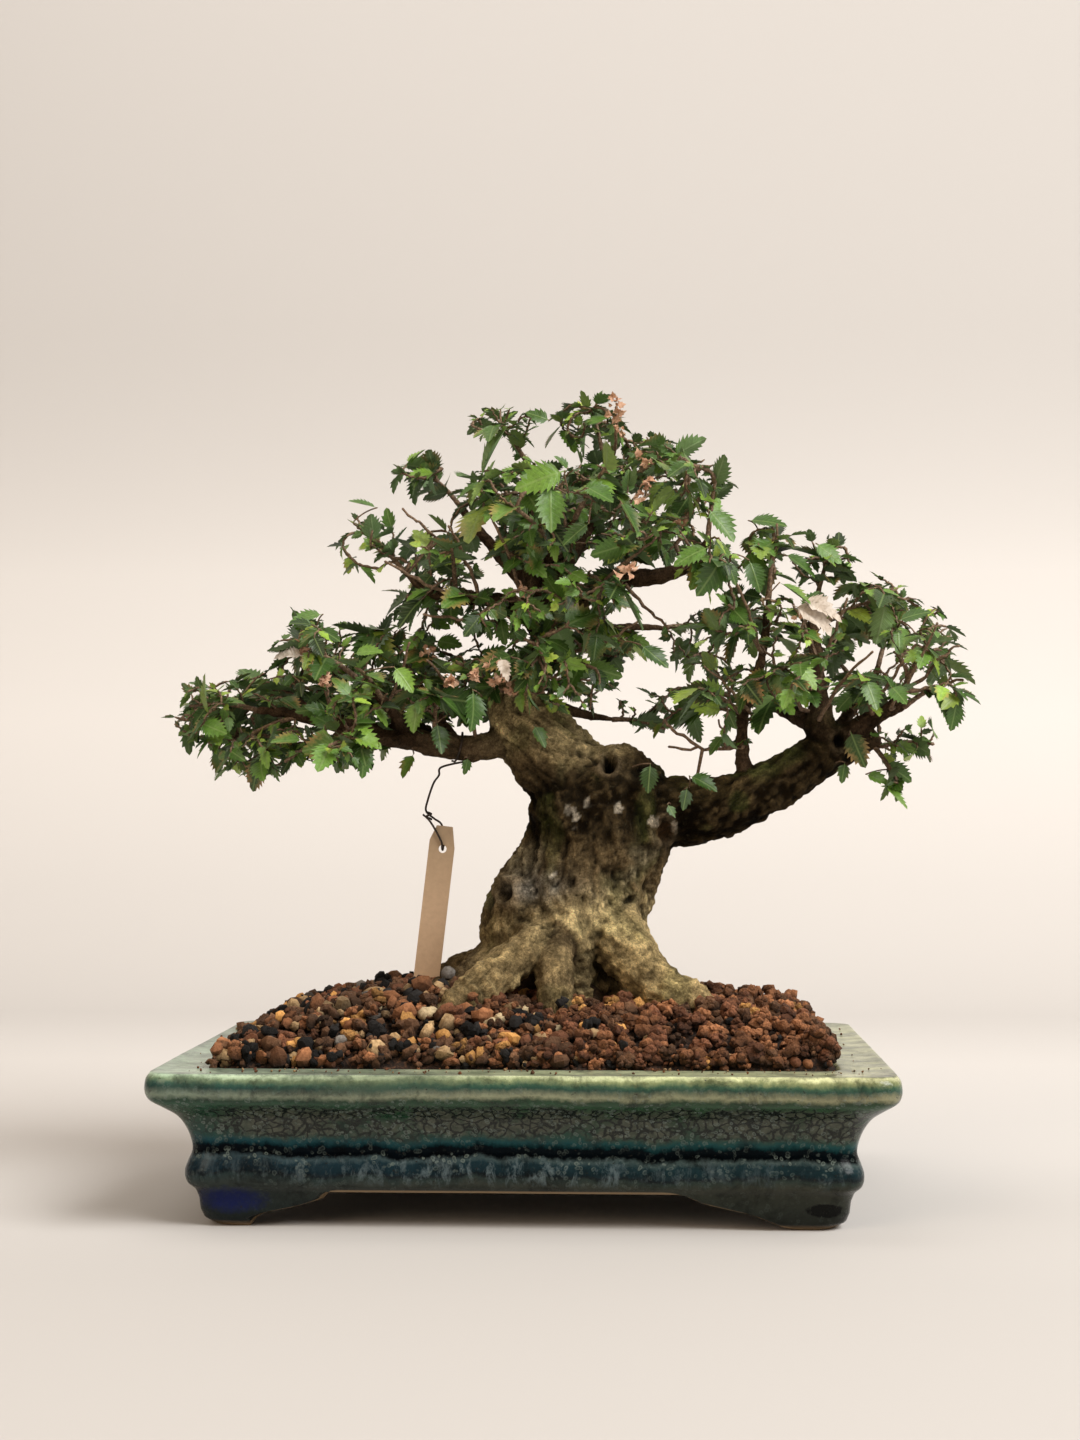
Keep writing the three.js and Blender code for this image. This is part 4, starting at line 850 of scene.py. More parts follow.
# Wood: one living piece of elm. Roots grip the soil and run together into a leaning trunk, which forks
# into a curved leader, a heavy limb to the right and a thin one to the left, with old healed cuts.
TRUNK = np.array([
    [78, 14, 0, 40, 34], [104, 13, 0, 49, 41], [118, 12.5, 0, 46.5, 39], [130, 12.5, 0, 45, 37.5],
    [143, 14, 0, 46, 36.5], [157, 18, 0, 46.5, 35.5], [170, 23, 0, 46.5, 34.5], [181, 28, 0, 44.5, 34],
    [191, 33.5, 0, 43, 33.5], [202, 37, -1, 41, 33], [214, 38, -2, 39.5, 31.5], [226, 39, -3, 35, 28],
    [237, 44, -3, 26, 21], [245, 46, -3, 11, 9],
])
LIMBS = {
    "leader": [
        [33, 0, 221, 26], [18, -2, 233, 24], [3, -4, 250, 20.5], [-8, -4, 265, 17], [-9, -2, 279, 13.5],
        [0, 0, 293, 11.5], [8, 1, 307, 10], [5, 2, 323, 8.5], [0, 4, 341, 6.5], [-1, 6, 361, 5],
        [1, 6, 382, 3.6], [0, 3, 401, 2.2]],
    "right": [
        [38, 0, 212, 25], [63, -3, 211.5, 20.5], [88, -5, 210.5, 17.8], [107, -6, 213.5, 15.8],
        [127, -6, 222, 14.2], [147, -4, 233, 13.2], [164, -2, 243, 12.2], [181, 0, 250, 9.5],
        [191, 2, 251, 5]],
    "left": [
        [-2, -3, 256, 11], [-19, -8, 249, 8.5], [-34, -12, 246, 7.2], [-51, -16, 248, 6.8],
        [-68, -18, 251, 6.2], [-86, -20, 255, 5.4], [-109, -22, 260, 4.4], [-132, -19, 265, 3.2],
        [-153, -15, 267, 2]],
    "crown_left": [
        [6, 0, 311, 6.5], [-7, -8, 325, 5.6], [-23, -14, 329, 4.6], [-42, -20, 329, 3.8],
        [-58, -26, 333, 2.8], [-70, -29, 343, 1.9]],
    "crown_left_back": [[3, 2, 330, 5], [-17, 20, 354, 3.6], [-37, 33, 378, 2.4], [-45, 38, 389, 1.8]],
    "crown_right": [
        [9, 0, 315, 7.2], [29, -6, 331, 6.6], [52, -14, 340, 5.4], [71, -22, 341, 4.2], [89, -30, 346, 3],
        [97, -33, 359, 2]],
    "crown_mid": [[2, 3, 332, 5], [23, 16, 359, 3.6], [36, 27, 383, 2.5], [42, 33, 400, 1.8]],
    "crown_front": [[4, 0, 325, 5], [8, -22, 344, 3.4], [17, -42, 360, 2.4], [25, -50, 369, 1.8]],
    "crown_back": [[3, 4, 334, 5], [14, 34, 356, 3.4], [34, 58, 370, 2.4], [46, 70, 381, 1.8]],
    "mid_back": [[5, 2, 299, 5], [31, 24, 313, 3.4], [60, 44, 318, 2.3], [74, 54, 318, 1.8]],
    "left_up": [[-67, -18, 251, 4], [-80, -30, 270, 2.8], [-95, -40, 284, 1.8]],
    "left_up_mid": [[-43, -14, 247, 4.4], [-57, -5, 269, 3], [-68, 3, 287, 1.9]],
    "left_back": [[-51, -14, 248, 4.8], [-76, 15, 264, 3.3], [-104, 36, 273, 2.3], [-120, 47, 277, 1.8]],
    "left_low": [[-98, -21, 258, 3.2], [-109, -29, 251, 1.9]],
    "left_front": [[-66, -18, 251, 4], [-77, -38, 249, 2.8], [-84, -50, 249, 1.9]],
    "right_twig": [
        [119, -6, 217, 5], [117, -10, 245, 3.7], [117, -14, 264, 3.4], [124, -18, 283, 2.9],
        [129, -21, 308, 2.2], [131, -23, 328, 1.8]],
    "right_up": [
        [167, -2, 242, 11], [161, -3, 257, 9], [160, 0, 273, 5.6], [159, 4, 296, 4], [157, 7, 314, 2.8],
        [159, 8, 328, 1.9]],
    "right_in": [[157, -1, 259, 6], [142, 12, 268, 3.6], [126, 24, 273, 2.6], [113, 30, 276, 1.8]],
    "right_out": [[171, 0, 246, 9], [182, -7, 258, 6.2], [196, -14, 266, 3.6], [204, -19, 276, 1.9]],
    "right_tip": [[192, -12, 263, 3.2], [205, -19, 268, 1.9]],
    "right_back": [[168, 2, 247, 6], [181, 34, 269, 3.4], [193, 50, 283, 2.3], [199, 57, 295, 1.8]],
    "right_low": [[184, 2, 250, 4], [194, -3, 247, 1.9]],
    "centre_low": [[-2, 0, 273, 5], [28, 12, 266, 2.8], [44, 18, 263, 1.9]],
}
ROOTS = [
    [[6, -16, 150, 13], [2, -38, 139, 10.5], [-11, -49, 128, 10.5], [-24, -58, 118, 10.5],
     [-37, -66, 108, 10], [-47, -72, 96, 8.5], [-54, -76, 82, 7]],
    [[16, -14, 152, 10], [15, -37, 138, 8], [14, -47, 127, 9.5], [14, -53, 115, 9.5],
     [15, -57, 102, 8.5], [16, -58, 88, 7]],
    [[38, -12, 154, 20], [54, -24, 132, 15], [70, -31, 117, 12.5], [88, -34, 106, 10.5], [106, -34, 91, 8]],
    [[-8, 6, 142, 16], [-25, 14, 128, 11], [-43, 24, 119, 9.5], [-60, 33, 106, 8.5], [-72, 38, 91, 6]],
    [[-16, -8, 136, 11], [-32, -20, 121, 9], [-48, -30, 112, 8], [-60, -38, 98, 6.5]],
    [[34, 12, 143, 18], [56, 32, 122, 12], [78, 50, 104, 9.5], [90, 58, 88, 7]],
    [[8, 20, 140, 17], [2, 46, 122, 12], [-8, 68, 104, 9.5], [-12, 78, 88, 7]],
]
FOOT_DRAWN_IN = 0.80
WOOD_VOXEL = 0.0015
WOOD_CALMING = 9
THIN_WOOD_GAIN = 0.3
GRAIN_TWIST = 0.013
# Healed cuts: x, z, radius and height of the ring of callus, depth of the middle and how dark that is.
HEALED = np.array([
    [43, 236, 5.6, 2.2, 8.0, 1.0], [73, 200, 6.5, 2.0, 2.0, -1.0], [-13, 166, 7.0, 2.8, 2.4, 0.5],
    [53, 162, 3.6, 0.9, 1.6, 0.7], [27, 243, 3.4, 0.9, 1.2, 0.5],
    [170, 250, 5.0, 1.4, 2.0, 0.4], [22, 172, 4.0, 0.5, 1.0, 0.6],
])
PALE_PATCHES = np.array([
    [20.4, 211.5, 5.5], [24.3, 205, 4.5], [47.4, 213.2, 3.6], [68, 204, 4.2], [78, 203, 3.4],
    [31, 214, 4.0], [2, 168, 3.5], [12, 176, 3.0],
])


def smooth_step(value, low, high):
    """0 below low, 1 above high, and an S-shaped climb between."""
    share = np.clip((value - low) / (high - low), 0, 1)
    return share * share * (3 - 2 * share)


def tubes(spots, radii, sides):
    """Many tubes at once, from paths (tubes, rings, 3) and radii (tubes, rings): rings that stand square on
    each path, turned from the axis that the path uses least, and a pole at each end. Returns the points,
    the quads and the end triangles."""
    count, rings = radii.shape
    along = unit(np.gradient(spots, axis=1))
    least = np.eye(3)[np.abs(along).mean(1).argmin(1)][:, None]
    across = unit(np.cross(along, least))
    over = np.cross(along, across)
    turn = np.arange(sides) / sides * 2 * np.pi
    spread = np.cos(turn)[:, None] * across[:, :, None] + np.sin(turn)[:, None] * over[:, :, None]
    skin = spots[:, :, None] + radii[:, :, None, None] * spread
    poles = np.stack([spots[:, 0] - along[:, 0] * radii[:, :1] * 0.5,
                      spots[:, -1] + along[:, -1] * radii[:, -1:] * 0.9], 1)
    size = rings * sides
    points = np.concatenate([skin.reshape(count, size, 3), poles], 1)
    first = np.arange(count)[:, None, None] * (size + 2)
    quads = grid_faces(rings, sides)[None] + first
    caps = np.vstack([fan_faces(size, 0, sides, False), fan_faces(size + 1, size - sides, sides, True)])
    return points.reshape(-1, 3), quads.reshape(-1, 4), (caps[None] + first).reshape(-1, 3)


def wood_surface(rings=44, sides=20, trunk_rings=60, trunk_sides=56):
    """The trunk's oval slices, fluted and drawn in between the roots, and a tapering tube along each limb
    and root. They run into each other and are made one afterwards."""
    paths = [*LIMBS.values(), *ROOTS]
    routes = np.array([sampled(path, rings) for path in paths])
    gain = THIN_WOOD_GAIN * (1 - smooth_step(routes[..., 3], 3, 8))
    points, quads, caps = tubes(routes[..., :3], routes[..., 3] + gain, sides)
    z, middle_x, middle_y, half_x, half_y = sampled(TRUNK, trunk_rings).T[:, :, None]
    turn = np.arange(trunk_sides)[None] / trunk_sides * 2 * np.pi
    drawn = 1 - (1 - FOOT_DRAWN_IN) * (1 - smooth_step(z, 112, 150))
    half_x, half_y = half_x * drawn, half_y * drawn
    flute = 0.085 * (1 - smooth_step(z, 120, 190))
    wave = 1 + flute * np.cos(5 * turn + 0.6) + 0.03 * np.sin(3 * turn + z / 24)
    slices = np.stack(np.broadcast_arrays(
        middle_x + half_x * wave * np.cos(turn), middle_y + half_y * wave * np.sin(turn), z), -1)
    poles = [[*slices[0].mean(0)], [*slices[-1].mean(0)]]
    first = len(points)
    last = first + trunk_rings * trunk_sides
    points = np.vstack([points, slices.reshape(-1, 3), poles])
    quads = np.vstack([quads, grid_faces(trunk_rings, trunk_sides, first)])
    caps = np.vstack([caps, fan_faces(last, first, trunk_sides, False),
                      fan_faces(last + 1, last - trunk_sides, trunk_sides, True)])
    return points, quads, caps


def bark_frames():
    """Close samples along every path with their frames, for laying bark along the wood: position, direction,
    two directions across, way along and radius. The trunk's own axis is the last path."""
    axis = np.column_stack([TRUNK[:, [1, 2, 0]], TRUNK[:, 3:].mean(1)])
    made = []
    for path in [*LIMBS.values(), *ROOTS, axis]:
        length = np.linalg.norm(np.diff(np.array(path)[:, :3], axis=0), axis=1).sum()
        line = sampled(path, max(int(length / 3), 8))
        along = unit(np.gradient(line[:, :3], axis=0))
        least = np.eye(3)[np.abs(along).mean(0).argmin()]
        across = unit(np.cross(along, least))
        way = np.concatenate([[0], np.cumsum(np.linalg.norm(np.diff(line[:, :3], axis=0), axis=1))])
        made.append((line[:, :3], along, across, np.cross(along, across), way, line[:, 3]))
    return made


def bark_at(points):
    """Where each point lies on the wood nearest to it, and the relief of the bark there in millimetres: broad
    muscles and ridges drawn out along the grain, which winds slowly round the wood, closed cracks between
    them, and cross wrinkles low on the trunk. Where limbs meet, one's relief runs over into the other's."""
    height = np.zeros(len(points))
    crack_and_crease_shade = np.zeros(len(points))
    weights = np.full(len(points), 1e-9)
    nearest = np.full(len(points), 1e9)
    place = np.zeros((len(points), 3))
    girth = np.zeros(len(points))
    for number, (spots, along, across, over, way, radius) in enumerate(bark_frames()):
        near = np.flatnonzero(((points > spots.min(0) - radius.max() * 1.3 - 9)
                               & (points < spots.max(0) + radius.max() * 1.3 + 9)).all(1))
        gap = np.linalg.norm(points[near, None] - spots[None], axis=2) - radius[None]
        k = gap.argmin(1)
        gap = np.abs(gap[np.arange(len(near)), k])
        keep = gap < 10
        near, k, gap = near[keep], k[keep], gap[keep]
        offset = points[near] - spots[k]
        step = (offset * along[k]).sum(1)
        x, y, s = (offset * across[k]).sum(1), (offset * over[k]).sum(1), way[k] + step
        turn = GRAIN_TWIST * s
        q = np.stack([x * np.cos(turn) - y * np.sin(turn), x * np.sin(turn) + y * np.cos(turn), s], -1)
        size = np.clip(radius[k] / 20, 0.12, 1.6)
        ridge = 1 - 2 * np.abs(cloud(q / [5.5, 5.5, 26], 1, 20 + number))
        seam = np.abs(cloud(q / [4.2, 4.2, 17], 1, 60 + number))
        low = 1 - smooth_step(points[near, 2], 105, 150)
        wrinkle = cloud(q / [9, 9, 2.6], 1, 90 + number)
        broad = np.minimum(size, 0.85)
        lift = (3.4 * broad * cloud(q / [15, 15, 34], 1, 10 + number) + 0.6 * np.sqrt(broad) * ridge
                + (1.9 - 0.6 * low) * broad * cloud(q / [9, 9, 10], 1, 130 + number)
                + (1.2 - 0.2 * low) * np.sqrt(broad) * cloud(q / [3.4, 3.4, 4.5], 1, 40 + number)
                + 2.0 * low * wrinkle + 1.0 * np.sqrt(size) * cloud(points[near], 2.4, 7))
        split = np.clip(1 - seam / 0.09, 0, 1)
        lift -= 0.9 * np.sqrt(size) * split
        weight = np.exp(-gap / 2.5)
        # How dark each point is painted: dark bark in the closed cracks, and painted shade in the troughs
        # between ridges and wrinkles.
        deep = 0.55 * split + 0.35 * np.clip(-ridge, 0, 1) + 0.3 * low * np.clip(-wrinkle, 0, 1)
        height[near] += weight * lift
        crack_and_crease_shade[near] += weight * deep
        weights[near] += weight
        best = gap < nearest[near]
        nearest[near[best]] = gap[best]
        place[near[best]] = q[best] + number * 31.0
        girth[near[best]] = radius[k[best]]
    return height / weights, crack_and_crease_shade / weights, place, girth


def healed_relief(points, facing):
    """Ring of callus and sunken middle of each healed cut, laid on the wood that faces the front: the ring is
    a rounded ridge in the distance from the cut's middle, and the middle a smooth pit."""
    lift, ring, pit = np.zeros(len(points)), np.zeros(len(points)), np.zeros(len(points))
    front = smooth_step(facing, 0.05, 0.35)
    for x, z, radius, high, deep, dark in HEALED:
        wobble = 1 + 0.32 * cloud(points, 6, int(abs(x)))
        away = np.hypot(points[:, 0] - x, (points[:, 2] - z) * 0.85) / (radius * wobble)
        callus = np.exp(-((away - 1) / 0.32) ** 2) * front
        inside = (1 - smooth_step(away, 0.35, 0.95)) * front
        lift += high * callus - deep * inside
        ring += callus * min(high / 1.8, 1)
        pit += inside * dark
    return lift, ring, pit


def mixed(below, above, share):
    """One colour laid over another, point by point."""
    share = np.clip(share, 0, 1)[:, None]
    return below * (1 - share) + np.asarray(above) * share


def hollows(points, normals, edges, rounds=26):
    """How deep each point lies under its surroundings, in millimetres: the points are averaged with their
    neighbours again and again, and the way each has moved is measured along its normal."""
    calm = points.copy()
    ends = np.concatenate([edges[:, 0], edges[:, 1]])
    others = np.concatenate([edges[:, 1], edges[:, 0]])
    count = np.bincount(ends, minlength=len(points))[:, None]
    for _ in range(rounds):
        calm = np.stack([np.bincount(ends, calm[others, k], len(points)) for k in range(3)], -1) / count
    return ((calm - points) * normals).sum(1)


def bark_colours(points, normals, crack_and_crease_shade, girth, ring, pit, hollow):
    """Colour of each point of bark: straw-coloured foot, brown-olive trunk with green-grey stains, a dark
    band under the fork and dark limbs, both darkened further as painted shade, with painted light on the
    limbs' upper sides and knobs, painted shade low on the left and in the cleft between roots, moss on upper
    sides, pale flakes, dark cracks with painted shade in creases, and painted shade in hollows with painted
    light on bumps."""
    x, y, z = points.T
    broad, small = cloud(points, 24, 3), cloud(points, 7, 4)
    tone = np.full((len(points), 3), (0.140, 0.098, 0.048))
    tone = mixed(tone, (0.100, 0.085, 0.040), smooth_step(broad + 0.4 * small, 0.0, 0.5))
    tone = mixed(tone, (0.20, 0.165, 0.10), smooth_step(cloud(points, 15, 5) + 0.3 * small, 0.15, 0.6) * 0.7)
    slate = np.exp(-((x - 6) / 17) ** 2 - ((z - 168) / 10) ** 2) * (y < 0)
    tone = mixed(tone, (0.17, 0.165, 0.15), slate * (0.7 + 0.6 * small))
    foot = 1 - smooth_step(z + 10 * broad + 5 * small - 0.15 * (x - 14), 138, 164)
    tone = mixed(tone, (0.38, 0.285, 0.135), foot * (0.85 + 0.35 * small))
    straw = np.exp(-((x - 34) / 28) ** 2 - ((z - 151) / 13) ** 2) * smooth_step(-y, -10, 10)
    tone = mixed(tone, (0.64, 0.50, 0.25), straw * (0.85 + 0.5 * small))
    # Painted shade: the wood low on the left, behind the front-left root, darkened by half as in the trunk's
    # shade.
    tone *= (1 - 0.5 * smooth_step(-x, 22, 40) * (z < 150) * smooth_step(y, -58, -44))[:, None]
    middle_root = np.exp(-((x - 14) / 9) ** 2) * smooth_step(-z, -128, -116) * smooth_step(-y, 30, 42)
    tone *= (1 - 0.5 * middle_root)[:, None]
    # Painted shade: near-black in the cleft between the roots at the front.
    cleft_shade = np.exp(-((x - 31) / 8) ** 2 - ((z - 124) / 13) ** 2) * (y < -20)
    tone = mixed(tone, (0.040, 0.034, 0.020), cleft_shade * (0.9 + 0.8 * small))
    # Dark band under the fork: dark bark, darkened further as painted shade under the foliage.
    dark_band_and_shade = smooth_step(z + 6 * small, 184, 204) * (1 - smooth_step(z + 7 * broad - 0.25 * (x - 30), 224, 244))
    tone = mixed(tone, (0.010, 0.006, 0.002), dark_band_and_shade * (0.94 + 0.3 * small))
    # Dark limbs: dark bark, darkened further as painted shade under the foliage.
    limb = smooth_step(x + 6 * broad, 66, 84) * smooth_step(z, 150, 190)
    tone = mixed(tone, (0.007, 0.004, 0.001), limb * 0.96)
    # Painted light on the limbs' upper sides.
    lit = limb * smooth_step(normals[:, 2], 0.1, 0.7)
    tone = mixed(tone, (0.110, 0.080, 0.033), lit * 0.42)
    # Painted highlights on the knobs of the limbs and of the band under the fork.
    tone = mixed(tone, (0.110, 0.076, 0.036), np.maximum(limb, dark_band_and_shade) * smooth_step(-hollow, 0.35, 1.2) * 0.35)
    leader = smooth_step(z + 6 * broad, 232, 248) * (1 - smooth_step(x, 44, 62))
    tone = mixed(tone, (0.42, 0.325, 0.16), leader * 0.9)
    thin = 1 - smooth_step(girth, 5.5, 13)
    tone = mixed(tone, (0.065, 0.040, 0.023), thin)
    upper = smooth_step(normals[:, 2], 0.15, 0.8)
    mossy = smooth_step(cloud(points, 11, 8) + 0.5 * small, -0.1, 0.5)
    moss = upper * mossy * smooth_step(z, 200, 235) * (1 - thin)
    moss += 0.5 * smooth_step(cloud(points, 17, 9), 0.25, 0.6) * (1 - thin)
    tone = mixed(tone, (0.080, 0.095, 0.026), 0.65 * moss)
    flake = np.zeros(len(points))
    for px, pz, radius in PALE_PATCHES:
        away = np.hypot((x - px) * 1.3, z - pz) / radius
        flake = np.maximum(flake, smooth_step(1 - away + 0.9 * cloud(points, 3.4, 14), 0.25, 0.45) * (y < 0))
    tone = mixed(tone, (0.52, 0.46, 0.36), flake * 0.85)
    tone = mixed(tone, (0.24, 0.18, 0.11), 0.4 * ring)
    tone = mixed(tone, (0.010, 0.008, 0.006), np.clip(pit, 0, 1))
    tone = mixed(tone, (0.34, 0.19, 0.085), np.clip(-pit, 0, 1) * 0.8)
    tone *= (1 + 0.35 * small + 0.2 * broad + 0.35 * cloud(points, 3, 11))[:, None]
    # Painted shade in hollows and painted light on bumps, from how deep each point lies under its neighbours.
    tone *= (1 - 0.76 * smooth_step(hollow, 0.15, 1.5) + 0.5 * smooth_step(-hollow, 0.2, 1.4))[:, None]
    # Darker in cracks and creases: dark bark and painted shade.
    return tone * (1 - 0.72 * np.clip(crack_and_crease_shade, 0, 1))[:, None]


def read(items, field, width, kind=np.float32):
    """One field of a mesh's vertices or edges as an array with a row for each."""
    values = np.empty(len(items) * width, kind)
    items.foreach_get(field, values)
    return values.reshape(-1, width)


def bark_material():
    """Bark that takes its colour from the points and its grain from their place along the wood: fine flakes
    and streaks, light on their edges and dark between, with a dull waxy shine where it is smooth."""
    made, tree, shader, place = new_material("elm_bark", Roughness=0.78)
    shader.inputs["Specular IOR Level"].default_value = 0.05
    colour = attribute(tree, "bark_colour")
    grain = attribute(tree, "bark_place", "Vector")
    streak = noise(tree, grain, 260, 5, 0.65, stretch=(1, 1, 0.22))
    flake = noise(tree, place, 700, 6, 0.75, 0.6)
    grey = noise(tree, place, 240, 5, 0.65)
    shade = ramp(tree, streak, [[0.28, 0.4], [0.45, 0.9], [0.6, 1.15], [0.75, 1.7]])
    colour = blend(tree, 1.0, colour, shade, "MULTIPLY")
    colour = blend(tree, 1.0, colour, ramp(tree, flake, [[0.3, 0.3], [0.5, 1.0], [0.68, 1.9]]), "MULTIPLY")
    lichen = ramp(tree, grey, [[0.60, 0.0], [0.74, 0.28]])
    colour = blend(tree, lichen, colour, (0.21, 0.18, 0.11))
    tree.links.new(colour, shader.inputs["Base Color"])
    tree.links.new(ramp(tree, flake, [[0.3, 0.62], [0.7, 0.92]]), shader.inputs["Roughness"])
    relief(tree, shader, [[streak, 1.0, 0.004], [grey, 1.0, 0.004], [flake, 1.0, 0.0024],
                          [noise(tree, place, 2300, 3, 0.6), 0.5, 0.0005]])
    return made


bark = bark_material()
wood_points, wood_quads, wood_caps = wood_surface()
old_wood = make_piece("old_wood", in_row(wood_points), [wood_quads, wood_caps], [bark])
applied(old_wood,
        ("REMESH", {"mode": "VOXEL", "voxel_size": WOOD_VOXEL, "use_smooth_shade": True}),
        ("SMOOTH", {"factor": 0.5, "iterations": WOOD_CALMING}))
skin = (read(old_wood.data.vertices, "co", 3).astype(float) - POT_MIDDLE) * 1000
outward = read(old_wood.data.vertex_normals, "vector", 3).astype(float)
rise, crack_and_crease_shade, bark_place, girth = bark_at(skin)
scar, ring, pit = healed_relief(skin, -outward[:, 1])
skin = skin + outward * (rise + scar)[:, None]
hollow = hollows(skin, outward, read(old_wood.data.edges, "vertices", 2, np.int32))
old_wood.data.vertices.foreach_set("co", in_row(skin).astype(np.float32).ravel())
store(old_wood.data, "bark_colour", opaque(bark_colours(skin, outward, crack_and_crease_shade, girth, ring, pit, hollow)))
store(old_wood.data, "bark_place", bark_place * 0.001)
old_wood.data.update()
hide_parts("trunk")
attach(old_wood, "root")

# Twigs: this and last year's growth, brown and thinner than a match, kept short by pruning, so that it
# forks at every finger's breadth. The thickest are the shoots that carry the sprays.
SHOOTS = {
    "left_1": ("left", 1, [-193, -8, 270]), "left_2": ("left", 0.84, [-162, -22, 250]),
    "left_3": ("left", 0.8, [-152, 10, 284]), "left_4": ("left_up", 1, [-123, -48, 300]),
    "left_5": ("left_up", 0.55, [-92, -66, 288]), "left_6": ("left_front", 1, [-104, -76, 246]),
    "left_7": ("left_up_mid", 1, [-86, 10, 314]), "left_8": ("left_back", 1, [-150, 62, 285]),
    "left_9": ("left_back", 0.6, [-98, 70, 284]), "left_10": ("left", 0.4, [-50, -54, 272]),
    "left_11": ("leader", 0.3, [-40, -40, 292]), "left_12": ("left_low", 1, [-133, -44, 238]),
    "left_13": ("left", 0.9, [-154, 26, 254]), "crown_1": ("crown_left", 1, [-91, -33, 364]),
    "crown_2": ("crown_left", 0.6, [-42, -46, 354]), "crown_3": ("crown_left_back", 1, [-64, 44, 408]),
    "crown_4": ("crown_left_back", 0.55, [-48, 62, 372]), "crown_5": ("leader", 1, [-18, -4, 428]),
    "crown_6": ("leader", 0.86, [2, -32, 402]), "crown_7": ("crown_mid", 1, [34, 38, 439]),
    "crown_8": ("crown_front", 1, [42, -66, 394]), "crown_9": ("crown_front", 0.55, [-8, -62, 374]),
    "crown_10": ("crown_back", 1, [68, 82, 402]), "crown_11": ("crown_right", 1, [101, -38, 390]),
    "crown_12": ("crown_right", 0.72, [98, -60, 346]), "crown_13": ("crown_right", 0.42, [52, -52, 356]),
    "crown_14": ("crown_mid", 0.5, [6, 56, 394]), "crown_15": ("mid_back", 1, [104, 72, 318]),
    "crown_16": ("mid_back", 0.6, [46, 66, 306]), "crown_17": ("crown_left", 0.28, [-26, -46, 318]),
    "crown_18": ("crown_mid", 0.8, [76, 16, 412]), "crown_19": ("crown_back", 0.45, [2, 88, 352]),
    "low_1": ("leader", 0.46, [36, -42, 288]), "low_2": ("centre_low", 1, [74, 24, 258]),
    "low_3": ("leader", 0.38, [-14, 50, 298]), "right_1": ("right_twig", 1, [134, -24, 362]),
    "right_2": ("right_twig", 0.72, [108, -48, 322]), "right_3": ("right_twig", 0.4, [92, -34, 278]),
    "right_4": ("right_up", 1, [168, 12, 358]), "right_5": ("right_up", 0.6, [148, -34, 310]),
    "right_6": ("right_in", 1, [84, 42, 282]), "right_7": ("right_in", 0.5, [132, 58, 290]),
    "right_8": ("right_out", 1, [216, -28, 302]), "right_9": ("right_out", 0.5, [178, -46, 284]),
    "right_10": ("right_tip", 1, [226, -36, 280]), "right_11": ("right_back", 1, [210, 72, 326]),
    "right_12": ("right_back", 0.55, [168, 62, 306]), "right_13": ("right_low", 1, [222, -10, 248]),
    "right_14": ("right_low", 0.5, [203, -16, 224]), "right_15": ("right_up", 0.78, [194, 10, 330]),
    "right_16": ("right_twig", 0.55, [146, -56, 290]),
}
SHOOT_BOW = 0.12
SHOOT_RADII = (1.5, 0.9)
# Clouds of foliage as the front view shows them: [x, z, half width, half height, front y, back y, spacing].
CLUMPS = np.array([
    [-181, 266, 27, 24, -34, 20, 10.5], [-160, 243, 26, 17, -45, 34, 11.5],
    [-140, 250, 24, 17, -45, 34, 13], [-142, 279, 30, 18, -32, 66, 13],
    [-125, 307, 25, 18, -64, 22, 14], [-103, 273, 30, 25, -76, 76, 14], [-105, 247, 22, 14, -84, 4, 13],
    [-75, 301, 28, 22, -30, 34, 14], [-58, 273, 28, 22, -62, 60, 14], [-30, 284, 25, 25, -56, 56, 14],
    [-94, 363, 20, 22, -46, -14, 14], [-63, 402, 20, 12, 24, 56, 13], [-52, 352, 25, 24, -60, 70, 19],
    [-18, 430, 26, 14, -24, 16, 12], [-13, 391, 30, 20, -62, 64, 14], [32, 430, 22, 16, 8, 56, 12],
    [32, 391, 30, 22, -76, 62, 14], [65, 408, 25, 22, -6, 94, 14], [93, 396, 20, 22, -54, 10, 13],
    [60, 368, 35, 20, -76, 90, 14], [4, 363, 30, 22, -76, 94, 14], [99, 352, 22, 18, -72, 10, 14],
    [37, 307, 30, 15, -54, 84, 18], [-30, 324, 25, 15, -60, 30, 17], [26, 279, 25, 18, -52, 30, 17],
    [68, 268, 28, 13, 4, 44, 16], [2, 290, 24, 24, -64, -18, 13], [-4, 322, 32, 20, -66, -14, 13],
    [30, 336, 34, 16, -70, -20, 14], [-52, 330, 30, 14, -50, 40, 15], [93, 307, 20, 22, 34, 84, 16],
    [133, 360, 20, 15, -36, -8, 13], [161, 352, 22, 16, -4, 30, 13], [122, 318, 28, 22, -62, 34, 15],
    [155, 312, 28, 24, -48, 68, 15], [195, 329, 25, 18, -6, 88, 14], [217, 307, 25, 23, -44, 60, 14],
    [234, 279, 14, 15, -48, -10, 15], [110, 279, 22, 18, -52, 48, 15], [144, 284, 28, 18, -66, 62, 14],
    [189, 279, 25, 18, -58, 52, 14], [206, 251, 24, 12, -24, 14, 13], [200, 226, 9, 8, -24, -8, 13],
    [110, 251, 15, 8, -24, 10, 14],
])
CROWDING = 0.87
TWIG_SEED = 41
TWIG_RINGS = 7
TWIG_KINK = 0.028
TWIG_THINNEST = 0.40
TWIG_NODE = 0.16
SHOOT_RINGS = 16
SHOOT_NODE = 0.12
THICKEST_PERCH = 7


def seen_from_front(points):
    """Where points appear, as x and z in the plane through the pot's middle, along the camera's sight."""
    reach = -EYE[1] / (points[:, 1] - EYE[1])
    return EYE[[0, 2]] + (points[:, [0, 2]] - EYE[[0, 2]]) * reach[:, None]


